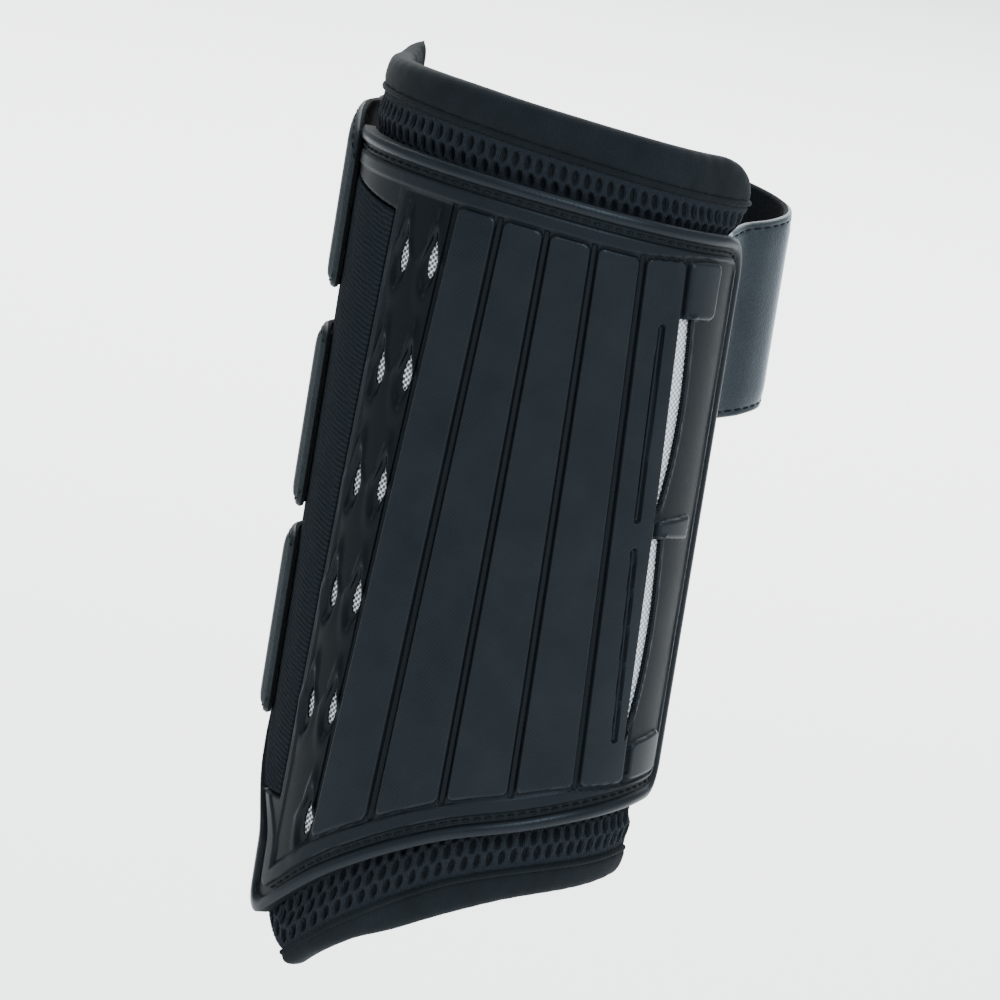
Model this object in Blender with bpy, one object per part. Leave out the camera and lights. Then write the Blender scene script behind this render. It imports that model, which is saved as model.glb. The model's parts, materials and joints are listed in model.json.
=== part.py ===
"""Wrap-around forearm and wrist splint: ribbed shell, lined inside, closed by three hook-and-loop straps.

The limb axis is +Z, the wide collar is up, the shell faces -Y and the straps close behind it at +Y.
Every layer follows one rounded section. A place on it is (around, height, out) in millimetres:
around runs along the shell's outer face from the front centre line, positive to the right,
height is Z, and out is the distance outside that face.
"""

import math

import bmesh
import bpy
import numpy as np

MM = 0.001

# The section that all the layers follow
HALF_WIDTH = 51.5
FRONT_DEPTH = 42.0
BACK_DEPTH = 36.0
ROUNDNESS = 2.3

# Layer faces, as distances outside the shell's outer face
RIB_RISE = 1.0
BEAD_RISE = 0.5
VENT_ZONE_DROP = 0.4
STRIP_RECESS = 1.5
SHELL_INSIDE = -2.7
GAP = 0.3
BACKING_MESH = (-3.1, -3.5)
SPACER = (-3.9, -6.8)
LINER = (-7.3, -10.1)
COLLAR_OUT = -3.0
COLLAR_ROLL_OUT = -4.5

# Heights of the rims: the top rims are planes that lean across the width, the bottom rims are curved
SHELL_TOP, SHELL_TOP_LEAN = 88.2, -0.118
SPACER_TOP, SPACER_TOP_LEAN = 97.0, -0.145
COLLAR_TOP, COLLAR_TOP_LEAN = 107.6, -0.13
CORNER_PEAK, CORNER_PEAK_WIDTH = 2.5, 9.0
SHELL_BOTTOM_LINE = ((-104, -150), (-66, -123), (-48, -110.8), (-28, -96.5), (-3, -84.2), (23, -77.6), (49, -73), (75, -69))
BAND_LEFT, BAND_RIGHT = 14.0, 10.0
COLLAR_DROP_LEFT, COLLAR_DROP_RIGHT = 9.5, 6.3
PIPING_RADIUS, PIPING_GAP = 1.1, 0.55

# Side edges
SHELL_LEFT, SHELL_LEFT_LOW = -84.0, -60.0
SHELL_NARROWS_FROM, SHELL_NARROWS_TO = -58.0, -96.0
SHELL_RIGHT = 68.0
LINER_LEFT, LINER_LEFT_LOW, LINER_RIGHT = -104.0, -57.0, 62.0
SPACER_LEFT, SPACER_LEFT_LOW, SPACER_RIGHT = -100.0, -55.0, 60.5
LINING_NARROWS_FROM, LINING_NARROWS_TO = -45.0, -108.0
CORNER_RADIUS, LINING_CORNER = 9.0, 2.2
LOW_CORNER, LOW_CORNER_RISE = 15.0, 12.0
LINING_LEVELS_AT = -44.0

# Ribs: groove centres (around) at the two reference heights, which the grooves fan out between
REF_TOP, REF_BOTTOM = 76.0, -80.0
GROOVES = ((-25.2, -37.6), (-12.6, -21.4), (0.0, -3.6), (12.8, 14.2), (26.0, 31.7), (39.6, 47.6))
GROOVE_WIDTH = 2.2
EDGE_SLOPE = 0.6
FLANGE_TOP, FLANGE_BOTTOM = 11.5, 9.8
BEAD_WIDTH = 3.2

# Vents and slots
VENT_TOP, VENT_PITCH = 63.8, 30.2
VENT_LENGTH, VENT_WIDTH = 10.7, 3.6
VENT_COLUMNS = ((-38.0, 0.066, 5), (-29.1, 0.0735, 6))
SLOT_PEAKS = (60.2, 0.6)
SLOT_LENGTH, SLOT_WIDTH = 53.8, 5.2
SLOT_AROUND, SLOT_LEAN = 40.8, -0.042

# Loop strip, in its recess on the left
STRIP_TOP, STRIP_BOTTOM = 74.0, -82.0
STRIP_RIGHT = (-43.6, -52.4)
STRIP_MARGIN = 3.5

# Straps: name, width at the sewn end and at the tab, height of the centre line at each of the two
STRAPS = (
    ("top", 50.0, 51.0, 56.5, 76.0),
    ("middle", 44.0, 50.0, 6.8, 16.5),
    ("bottom", 44.0, 51.0, -39.5, -39.0),
)
STRAP_THICK = 2.2
ANCHOR_FROM, ANCHOR_TO = 62.5, 72.0
ANCHOR_OUT = (-3.1, -5.3)
TAB_OUT = (1.7, 3.9)
HOOK_OUT = (0.35, 1.35)
TAB_END = -68.0
TAB_BEND = -90.0
HOOK_TO, HOOK_MARGIN = -81.0, 3.0
TAB_CORNER = 4.0
WIDE_LOOP = ((51.2, 5.5), (57.5, 9.0), (62.0, 16.0), (61.0, 26.0), (53.0, 36.5), (39.0, 44.5), (24.0, 47.0))
CLOSE_LOOP = ((48.6, 5.0), (49.6, 13.0), (47.4, 24.5), (39.0, 34.5), (28.0, 40.4), (20.0, 42.0))
WIDE_BACK, CLOSE_BACK = 47.0, 42.0
FLAT_LEFT = -20.0
LEFT_TURN = ((-34.0, 0.965), (-44.0, 0.86), (-48.0, 0.765))

COLOURS = {
    "shell": ((0.022, 0.027, 0.033, 1), 0.42),
    "silver": ((0.62, 0.63, 0.64, 1), 0.5),
    "spacer": ((0.02, 0.023, 0.035, 1), 0.85),
    "neoprene": ((0.017, 0.018, 0.021, 1), 0.9),
    "pile": ((0.015, 0.016, 0.018, 1), 0.95),
    "strap": ((0.045, 0.05, 0.052, 1), 0.55),
    "hook": ((0.012, 0.012, 0.013, 1), 0.7),
}


def clear_scene():
    for obj in list(bpy.data.objects):
        bpy.data.objects.remove(obj, do_unlink=True)


def material(name):
    found = bpy.data.materials.get(name)
    if found:
        return found
    made = bpy.data.materials.new(name)
    made.use_nodes = True
    colour, roughness = COLOURS[name]
    shader = made.node_tree.nodes["Principled BSDF"]
    shader.inputs["Base Color"].default_value = colour
    shader.inputs["Roughness"].default_value = roughness
    shader.inputs["Metallic"].default_value = 0.0
    return made


def section_table(steps=3600):
    """Points right round the section, with the length along it from the front centre line."""
    turn = np.linspace(-math.pi, math.pi, steps + 1)
    power = 2 / ROUNDNESS
    x = HALF_WIDTH * np.sign(np.sin(turn)) * np.abs(np.sin(turn)) ** power
    depth = np.where(np.cos(turn) > 0, FRONT_DEPTH, BACK_DEPTH)
    y = -depth * np.sign(np.cos(turn)) * np.abs(np.cos(turn)) ** power
    along = np.concatenate([[0], np.cumsum(np.hypot(np.diff(x), np.diff(y)))])
    return along - along[steps // 2], x, y


TABLE_AROUND, TABLE_X, TABLE_Y = section_table()


def section_xy(around, out=0.0):
    """(x, y) of a place on the section, moved outwards along its normal."""
    x = float(np.interp(around, TABLE_AROUND, TABLE_X))
    y = float(np.interp(around, TABLE_AROUND, TABLE_Y))
    depth = FRONT_DEPTH if y < 0 else BACK_DEPTH
    nx = math.copysign(abs(x / HALF_WIDTH) ** (ROUNDNESS - 1) / HALF_WIDTH, x)
    ny = math.copysign(abs(y / depth) ** (ROUNDNESS - 1) / depth, y)
    size = math.hypot(nx, ny)
    return x + nx / size * out, y + ny / size * out


def wrap(around, height, out):
    x, y = section_xy(around, out)
    return (x * MM, y * MM, height * MM)


def smoothstep(low, high, value):
    t = min(1.0, max(0.0, (value - low) / (high - low)))
    return t * t * (3 - 2 * t)


def mix(a, b, t):
    return a + (b - a) * t


def curve_through(points, value):
    """Height of the smooth line through the given points (Catmull-Rom between neighbours)."""
    xs = [p[0] for p in points]
    i = min(max(int(np.searchsorted(xs, value)) - 1, 0), len(points) - 2)
    before, after = max(i - 1, 0), min(i + 2, len(points) - 1)
    span = xs[i + 1] - xs[i]
    slope_in = (points[i + 1][1] - points[before][1]) / (xs[i + 1] - xs[before]) * span
    slope_out = (points[after][1] - points[i][1]) / (xs[after] - xs[i]) * span
    t = (value - xs[i]) / span
    start, end = points[i][1], points[i + 1][1]
    cubic = (2 * t**3 - 3 * t**2 + 1) * start + (t**3 - 2 * t**2 + t) * slope_in
    return cubic + (3 * t**2 - 2 * t**3) * end + (t**3 - t**2) * slope_out


def leaning(height, lean, around):
    return height + lean * section_xy(around)[0]


def shell_top(around):
    return leaning(SHELL_TOP, SHELL_TOP_LEAN, around)


def shell_bottom(around):
    return curve_through(SHELL_BOTTOM_LINE, around)


def spacer_top(around):
    return leaning(SPACER_TOP, SPACER_TOP_LEAN, around)


def spacer_bottom(around):
    across = smoothstep(-40, 25, around)
    level = shell_bottom(max(around, LINING_LEVELS_AT)) - mix(BAND_LEFT, BAND_RIGHT, across)
    into_corner = min(1.2, max(0.0, 1 - (around - SPACER_LEFT_LOW) / LOW_CORNER))
    return level + LOW_CORNER_RISE * into_corner**2


def liner_top(around):
    peak = CORNER_PEAK * math.exp(-(((around - LINER_LEFT) / CORNER_PEAK_WIDTH) ** 2))
    return leaning(COLLAR_TOP, COLLAR_TOP_LEAN, around) + peak


def liner_bottom(around):
    across = smoothstep(-35, -12, around)
    return spacer_bottom(around) - mix(COLLAR_DROP_LEFT, COLLAR_DROP_RIGHT, across)


def piping_room(edge, around):
    """Height that the piping and its gaps take up along a rim, more where the rim is steep."""
    slope = edge(around + 1) - edge(around - 1)
    return 2 * (PIPING_RADIUS + PIPING_GAP) * math.hypot(1, 0.5 * slope)


def collar_start(around):
    """Lower rim of the top collar."""
    return spacer_top(around) + piping_room(spacer_top, around)


def collar_end(around):
    """Upper rim of the bottom collar."""
    return spacer_bottom(around) - piping_room(spacer_bottom, around)


def corner_cut(around, left, right, radius):
    """How far a rounded corner pulls the rim in near the two side edges."""
    inside = min(around - left, right - around)
    short = max(0.0, radius - max(inside, 0.0))
    return radius - math.sqrt(max(radius * radius - short * short, 0.0))


def fan(s_top, s_bottom):
    """A line that runs from s_bottom at REF_BOTTOM to s_top at REF_TOP."""
    return lambda z: mix(s_bottom, s_top, (z - REF_BOTTOM) / (REF_TOP - REF_BOTTOM))


def shell_left(z):
    return mix(SHELL_LEFT, SHELL_LEFT_LOW, smoothstep(-SHELL_NARROWS_FROM, -SHELL_NARROWS_TO, -z))


def liner_left(z):
    return mix(LINER_LEFT, LINER_LEFT_LOW, smoothstep(-LINING_NARROWS_FROM, -LINING_NARROWS_TO, -z))


def spacer_left(z):
    return mix(SPACER_LEFT, SPACER_LEFT_LOW, smoothstep(-LINING_NARROWS_FROM, -LINING_NARROWS_TO, -z))


def crossing(column, row):
    """(around, height) where a column line and a row line meet."""
    around = column(0.0)
    for _ in range(60):
        around = 0.5 * (around + column(row(around)))
    return around, row(around)


def closed_grid(name, outer, inner, slot):
    """A closed solid between two equal grids of points, outer[column][row] and inner[column][row]."""
    columns, rows = len(outer), len(outer[0])
    mesh = bmesh.new()
    front = [[mesh.verts.new(p) for p in line] for line in outer]
    back = [[mesh.verts.new(p) for p in line] for line in inner]
    for i in range(columns - 1):
        for j in range(rows - 1):
            mesh.faces.new((front[i][j], front[i + 1][j], front[i + 1][j + 1], front[i][j + 1]))
            mesh.faces.new((back[i][j], back[i][j + 1], back[i + 1][j + 1], back[i + 1][j]))
    rim = [(i, 0) for i in range(columns - 1)] + [(columns - 1, j) for j in range(rows - 1)]
    rim += [(i, rows - 1) for i in range(columns - 1, 0, -1)] + [(0, j) for j in range(rows - 1, 0, -1)]
    for (i, j), (k, m) in zip(rim, rim[1:] + rim[:1]):
        mesh.faces.new((front[i][j], back[i][j], back[k][m], front[k][m]))
    return finished(name, mesh, slot)


def finished(name, mesh, slot):
    bmesh.ops.recalc_face_normals(mesh, faces=mesh.faces)
    data = bpy.data.meshes.new(name)
    mesh.to_mesh(data)
    mesh.free()
    data.shade_smooth()
    data.set_sharp_from_angle(angle=math.radians(35))
    obj = bpy.data.objects.new(name, data)
    obj.data.materials.append(material(slot))
    bpy.context.scene.collection.objects.link(obj)
    return obj


def band(name, columns, rows, outs, slot):
    """A wrapped sheet. columns and rows are lines; outs(column, row, around, height) gives both faces."""
    outer, inner = [], []
    for i, column in enumerate(columns):
        places = [crossing(column, row) for row in rows]
        faces = [outs(i, j, *place) for j, place in enumerate(places)]
        outer.append([wrap(s, z, face[0]) for (s, z), face in zip(places, faces)])
        inner.append([wrap(s, z, face[1]) for (s, z), face in zip(places, faces)])
    return closed_grid(name, outer, inner, slot)


def prism(name, outline, low, high, slot="shell"):
    """A wrapped outline of (around, height) points, made solid between two distances out."""
    mesh = bmesh.new()
    bottom = [mesh.verts.new(wrap(s, z, low)) for s, z in outline]
    top = [mesh.verts.new(wrap(s, z, high)) for s, z in outline]
    for i in range(len(outline)):
        k = (i + 1) % len(outline)
        mesh.faces.new((bottom[i], bottom[k], top[k], top[i]))
    for ring in (bottom, top):
        centre = mesh.verts.new(sum((v.co for v in ring), ring[0].co * 0) / len(ring))
        for i in range(len(ring)):
            mesh.faces.new((ring[i], ring[(i + 1) % len(ring)], centre))
    return finished(name, mesh, slot)


def teardrop(around, height, lean):
    """Outline of a vent: pointed at its top and round at its bottom."""
    outline = []
    for k in range(10):
        turn = 2 * math.pi * k / 10
        up = 0.5 * VENT_LENGTH * math.cos(turn)
        pinch = 1 - 0.45 * max(0.0, math.cos(turn))
        outline.append((around + lean * up + 0.5 * VENT_WIDTH * math.sin(turn) * pinch, height + up))
    return outline


def leaf(peak):
    """Outline of a long slot: flat top, straight left side, bulging right side, pointed bottom."""
    def side(t):
        return SLOT_AROUND + SLOT_LEAN * (peak - t * SLOT_LENGTH - 40)

    outline = []
    for t in (0.0, 0.3, 0.6, 0.85, 1.0):
        outline.append((side(t), peak - t * SLOT_LENGTH))
    for t in (0.85, 0.65, 0.45, 0.25, 0.1, 0.0):
        bulge = 1.6 + (SLOT_WIDTH - 1.6) * math.sin(math.pi * min(1.0, 0.18 + 0.82 * t)) ** 0.8
        outline.append((side(t) + bulge, peak - t * SLOT_LENGTH))
    return outline


def cut(obj, tools):
    for tool in tools:
        tool.hide_render = True
        tool.display_type = "WIRE"
        boolean = obj.modifiers.new(tool.name, "BOOLEAN")
        boolean.operation = "DIFFERENCE"
        boolean.solver = "EXACT"
        boolean.object = tool


def shell_columns():
    """The shell's upright lines with the rise of each: edge, strip recess, vent zone, ribs and right flange."""
    strip = fan(*STRIP_RIGHT)
    first = fan(*GROOVES[0])
    lines = [(shell_left, "edge")]
    lines.append((lambda z: shell_left(z) + STRIP_MARGIN - GAP - 0.6, "edge"))
    for t in (0.0, 0.2, 0.4, 0.6, 0.8, 1.0):
        lines.append((lambda z, t=t: mix(shell_left(z) + STRIP_MARGIN - GAP, strip(z) + GAP, t), "plain"))
    lines.append((lambda z: strip(z) + GAP + EDGE_SLOPE, "plain"))
    lines.append((lambda z: strip(z) + 2.4, "vent"))
    for t in (0.25, 0.5, 0.75):
        lines.append((lambda z, t=t: mix(strip(z) + 2.4, first(z) - 0.4, t), "vent"))
    lines.append((lambda z: first(z) - 0.4, "vent"))
    for left, right in zip(GROOVES[:-1], GROOVES[1:]):
        a, b = fan(*left), fan(*right)
        half = 0.5 * GROOVE_WIDTH
        lines.append((lambda z, a=a: a(z) + half - EDGE_SLOPE * 0.5, "plain"))
        lines.append((lambda z, a=a: a(z) + half + EDGE_SLOPE * 0.5, "rib"))
        lines.append((lambda z, a=a, b=b: mix(a(z), b(z), 0.5), "rib"))
        lines.append((lambda z, b=b: b(z) - half - EDGE_SLOPE * 0.5, "rib"))
        lines.append((lambda z, b=b: b(z) - half + EDGE_SLOPE * 0.5, "plain"))
    last = fan(*GROOVES[-1])
    for t in (0.0, 0.2, 0.4, 0.6, 0.8):
        lines.append((lambda z, t=t: mix(last(z) + 0.5 * GROOVE_WIDTH, SHELL_RIGHT - BEAD_WIDTH, t), "plain"))
    for inset in (BEAD_WIDTH + 0.6, BEAD_WIDTH, 0.5 * BEAD_WIDTH, 0.5, 0.0):
        lines.append((lambda z, inset=inset: SHELL_RIGHT - inset, "bead" if 0 < inset <= BEAD_WIDTH else "plain"))
    return lines


def shell_rows():
    """The shell's level lines from the bottom rim to the top rim."""
    def low(s):
        cut_in = corner_cut(s, shell_left(-105.0), SHELL_RIGHT, CORNER_RADIUS)
        return shell_bottom(s) + cut_in

    def high(s):
        return shell_top(s) - corner_cut(s, SHELL_LEFT, SHELL_RIGHT, CORNER_RADIUS)

    rows = []
    for inset in (0.0, 0.5, 0.5 * BEAD_WIDTH, BEAD_WIDTH, BEAD_WIDTH + 0.6, FLANGE_BOTTOM - EDGE_SLOPE):
        rows.append((lambda s, d=inset: low(s) + d, "bead" if 0 < inset <= BEAD_WIDTH else "flange"))
    for t in (0.0, 0.12, 0.25, 0.38, 0.5, 0.62, 0.75, 0.88, 1.0):
        rows.append((lambda s, t=t: mix(low(s) + FLANGE_BOTTOM, high(s) - FLANGE_TOP, t), "field"))
    for inset in (FLANGE_TOP - EDGE_SLOPE, BEAD_WIDTH + 0.6, BEAD_WIDTH, 0.5 * BEAD_WIDTH, 0.5, 0.0):
        rows.append((lambda s, d=inset: high(s) - d, "bead" if 0 < inset <= BEAD_WIDTH else "flange"))
    return rows


def strip_band(name, grow, faces, slot):
    """The loop strip's own shape, or with grow the pocket that it lies in."""
    right = fan(*STRIP_RIGHT)

    def bottom(s):
        return max(STRIP_BOTTOM, shell_bottom(s) + FLANGE_BOTTOM + 1.5) - grow

    columns = even_lines(lambda z: shell_left(z) + STRIP_MARGIN - grow, lambda z: right(z) + grow, 8)
    rows = even_rows(bottom, lambda s: STRIP_TOP + grow, 8)
    return band(name, columns, rows, lambda *place: faces, slot)


def make_strip():
    strip_band("loop_strip", 0.0, (0.0, -STRIP_RECESS + GAP), "pile")


def make_shell():
    columns, rows = shell_columns(), shell_rows()

    def outs(i, j, around, height):
        column_kind, row_kind = columns[i][1], rows[j][1]
        rise = 0.0
        if row_kind == "field":
            rise = {"rib": RIB_RISE, "vent": -VENT_ZONE_DROP}.get(column_kind, 0.0)
        if "bead" in (row_kind, column_kind):
            rise = BEAD_RISE
        return rise, SHELL_INSIDE

    shell = band("outer_shell", [c[0] for c in columns], [r[0] for r in rows], outs, "shell")
    tools = [strip_band("cut_strip", GAP, (3.0, -STRIP_RECESS), "shell")]
    for k, (start, lean, count) in enumerate(VENT_COLUMNS):
        for row in range(count):
            height = VENT_TOP - row * VENT_PITCH
            around = start - lean * row * VENT_PITCH
            tools.append(prism(f"cut_vent_{k}_{row}", teardrop(around, height, lean), -5, 3))
    for k, peak in enumerate(SLOT_PEAKS):
        tools.append(prism(f"cut_slot_{k}", leaf(peak), -5, 3))
    cut(shell, tools)


def even_lines(left, right, count):
    return [lambda z, t=k / (count - 1): mix(left(z), right(z), t) for k in range(count)]


def even_rows(bottom, top, count):
    return [lambda s, t=k / (count - 1): mix(bottom(s), top(s), t) for k in range(count)]


def make_meshes():
    """The woven silver meshes glued behind the vents and behind the two long slots."""
    left, right = fan(-47.5, -54.0), fan(-26.0, -34.0)
    rows = even_rows(lambda s: shell_bottom(s) + 6.5, lambda s: shell_top(s) - 9.5, 6)
    band("vent_mesh", even_lines(left, right, 8), rows, lambda *place: BACKING_MESH, "silver")
    left, right = fan(37.0, 42.0), fan(50.0, 55.0)
    rows = even_rows(lambda s: -58.0, lambda s: 66.0, 5)
    band("slot_mesh", even_lines(left, right, 7), rows, lambda *place: BACKING_MESH, "silver")


def make_spacer():
    columns = even_lines(spacer_left, lambda z: SPACER_RIGHT, 34)
    rows = [lambda s, t=t: mix(spacer_bottom(s), spacer_top(s), t)
            for t in (0.0, 0.08, 0.16, 0.24, 0.34, 0.46, 0.64, 0.82, 1.0)]
    band("spacer_mesh", columns, rows, lambda *place: SPACER, "spacer")


def make_liner():
    """The lining sheet, with a thick rolled collar at its top and at its bottom."""
    def pull(s):
        return corner_cut(s, LINER_LEFT, LINER_RIGHT, LINING_CORNER)

    rows = [
        (lambda s: liner_bottom(s) + pull(s), COLLAR_ROLL_OUT - 1.5),
        (lambda s: mix(liner_bottom(s) + pull(s), collar_end(s), 0.25), COLLAR_ROLL_OUT + 0.7),
        (lambda s: mix(liner_bottom(s) + pull(s), collar_end(s), 0.65), COLLAR_OUT),
        (lambda s: collar_end(s), COLLAR_OUT),
        (lambda s: collar_end(s) + 0.4, LINER[0]),
    ]
    for t in (0.08, 0.16, 0.24, 0.34, 0.46, 0.64, 0.82):
        rows.append((lambda s, t=t: mix(spacer_bottom(s), spacer_top(s), t), LINER[0]))
    rows += [
        (lambda s: collar_start(s) - 0.4, LINER[0]),
        (collar_start, COLLAR_OUT),
        (lambda s: mix(liner_top(s) - pull(s), collar_start(s), 0.45), COLLAR_OUT),
        (lambda s: mix(liner_top(s) - pull(s), collar_start(s), 0.15), COLLAR_ROLL_OUT + 0.7),
        (lambda s: liner_top(s) - pull(s), COLLAR_ROLL_OUT - 1.5),
    ]
    columns = even_lines(liner_left, lambda z: LINER_RIGHT, 36)
    band("liner", columns, [r[0] for r in rows], lambda i, j, s, z: (rows[j][1], LINER[1]), "neoprene")


def make_piping(name, edge, left, side):
    """A round cord sewn along the line where the spacer mesh meets the collar."""
    curve = bpy.data.curves.new(name, "CURVE")
    curve.dimensions = "3D"
    spline = curve.splines.new("POLY")
    stops = np.linspace(left, SPACER_RIGHT - 1.0, 40)
    spline.points.add(len(stops) - 1)
    out = SPACER[0]
    for point, around in zip(spline.points, stops):
        point.co = (*wrap(around, edge(around) + side * 0.5 * piping_room(edge, around), out), 1)
    curve.bevel_depth = PIPING_RADIUS * MM
    curve.bevel_resolution = 1
    curve.use_fill_caps = True
    obj = bpy.data.objects.new(name, curve)
    curve.materials.append(material("neoprene"))
    bpy.context.scene.collection.objects.link(obj)


def plan_curve(points, spacing=5.0):
    """Evenly spaced points on a smooth line through the given (x, y) points."""
    chord = np.concatenate([[0], np.cumsum([math.dist(a, b) for a, b in zip(points, points[1:])])])
    count = max(2, round(chord[-1] / spacing)) + 1
    route = []
    for value in np.linspace(0, chord[-1], count):
        x = curve_through(list(zip(chord, [p[0] for p in points])), value)
        y = curve_through(list(zip(chord, [p[1] for p in points])), value)
        route.append((x, y))
    return route


def ribbon(name, route, heights, widths, slot, corner=0.0):
    """A band on edge along a plan route, round at its start, with its centre's height and its width at each point."""
    half = 0.5 * STRAP_THICK
    count = len(route)
    ahead = []
    for k in range(count):
        a, b = route[max(k - 1, 0)], route[min(k + 1, count - 1)]
        size = math.dist(a, b)
        ahead.append(((b[0] - a[0]) / size, (b[1] - a[1]) / size))
    (x, y), (dx, dy) = route[0], ahead[0]
    stations = []
    for back, thick in ((0.97, 0.25), (0.7, 0.714)):
        nose = (x - dx * half * back, y - dy * half * back)
        stations.append((nose, (dx, dy), half * thick, heights[0], 0.5 * widths[0]))
    for k in range(count):
        stations.append((route[k], ahead[k], half, heights[k], 0.5 * widths[k]))
    if corner:
        end = stations.pop()
        before = stations[-1]
        for t in (0.4, 0.75, 0.93, 1.0):
            (x0, y0), (x1, y1) = before[0], end[0]
            short = max(0.0, 1 - (1 - t) * math.dist((x0, y0), (x1, y1)) / corner)
            pull = corner * (1 - math.sqrt(max(0.0, 1 - short * short)))
            place = (mix(x0, x1, t), mix(y0, y1, t))
            stations.append((place, end[1], half, mix(before[3], end[3], t), end[4] - pull))
    outer, inner = [], []
    for (x, y), (dx, dy), thick, middle, tall in stations:
        levels = [middle - tall, middle - 0.34 * tall, middle + 0.34 * tall, middle + tall]
        outer.append([((x + dy * thick) * MM, (y - dx * thick) * MM, z * MM) for z in levels])
        inner.append([((x - dy * thick) * MM, (y + dx * thick) * MM, z * MM) for z in levels])
    return closed_grid(name, outer, inner, slot)


def hinge_empty(name, x, y, height):
    empty = bpy.data.objects.new(name, None)
    empty.location = (x * MM, y * MM, height * MM)
    bpy.context.scene.collection.objects.link(empty)
    return empty


def hang(piece, empty):
    """Parents a piece to its joint's empty and leaves it where it lies."""
    piece.parent = empty
    piece.matrix_parent_inverse = empty.matrix_basis.inverted()


def make_strap(name, right_width, left_width, right_z, left_z):
    """One strap: the sewn tail, the strap that swings on it, and the tab with its hook patch."""
    wide = name == "top"
    loop, back = (WIDE_LOOP, WIDE_BACK) if wide else (CLOSE_LOOP, CLOSE_BACK)
    middle_out = 0.5 * sum(ANCHOR_OUT)
    tail_rows = [lambda s, h=h: right_z + h * right_width for h in (-0.5, 0.0, 0.5)]
    tail_columns = even_lines(lambda z: ANCHOR_FROM, lambda z: ANCHOR_TO, 3)
    band(f"strap_tail_{name}", tail_columns, tail_rows, lambda *place: ANCHOR_OUT, "strap")

    start = section_xy(ANCHOR_TO + GAP + 0.5 * STRAP_THICK + 0.1, middle_out)
    turn = [(x, back * y) for x, y in LEFT_TURN]
    knots = [start, *loop, (0.0, back), (FLAT_LEFT, back), *turn]
    route = plan_curve(knots)
    for k, (x, y) in enumerate(route):
        if FLAT_LEFT - 2 < x < loop[-1][0] and y > 0:
            route[k] = (x, back)
    reach = np.concatenate([[0], np.cumsum([math.dist(a, b) for a, b in zip(route, route[1:])])])
    share = reach / reach[-1]
    heights = [mix(right_z, left_z, (1 - (1 - t) ** 2) * 0.9) for t in share]
    widths = [mix(right_width, left_width, t) for t in share]
    strap = ribbon(f"strap_{name}", route, heights, widths, "strap")
    swing = hinge_empty(f"axis_swing_{name}", *start, right_z)
    hang(strap, swing)

    end, before = route[-1], route[-2]
    size = math.dist(end, before)
    step = (GAP + 0.5 * STRAP_THICK + 0.1) / size
    pivot = (mix(end[0], 2 * end[0] - before[0], step), mix(end[1], 2 * end[1] - before[1], step))
    tab_out = 0.5 * sum(TAB_OUT)
    hugging = [section_xy(s, tab_out) for s in np.linspace(TAB_BEND, TAB_END, 5)]
    tab_route = plan_curve([pivot, *hugging], 4.0)
    tab_heights = [mix(heights[-1], left_z, k / (len(tab_route) - 1)) for k in range(len(tab_route))]
    tab_widths = [left_width] * len(tab_route)
    tab = ribbon(f"tab_{name}", tab_route, tab_heights, tab_widths, "strap", TAB_CORNER)
    hook_low = left_z - 0.5 * left_width + HOOK_MARGIN
    hook_high = min(left_z + 0.5 * left_width, STRIP_TOP) - HOOK_MARGIN
    hook_rows = [lambda s, t=t: mix(hook_low, hook_high, t) for t in (0.0, 0.5, 1.0)]
    hook_columns = even_lines(lambda z: HOOK_TO, lambda z: TAB_END - 3, 4)
    hook = band(f"hook_patch_{name}", hook_columns, hook_rows, lambda *place: HOOK_OUT[::-1], "hook")
    peel = hinge_empty(f"axis_peel_{name}", *pivot, left_z)
    hang(peel, swing)
    hang(tab, peel)
    hang(hook, peel)


def main():
    clear_scene()
    make_shell()
    make_meshes()
    make_spacer()
    make_liner()
    make_piping("top_piping", spacer_top, SPACER_LEFT, 1)
    make_piping("bottom_piping", spacer_bottom, SPACER_LEFT_LOW + LOW_CORNER, -1)
    make_strip()
    for strap in STRAPS:
        make_strap(*strap)


main()
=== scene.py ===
"""Looks of the wrap-around forearm and wrist splint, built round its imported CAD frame."""

import json
import math

import bpy
import numpy as np
from mathutils import Matrix, Vector

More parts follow.
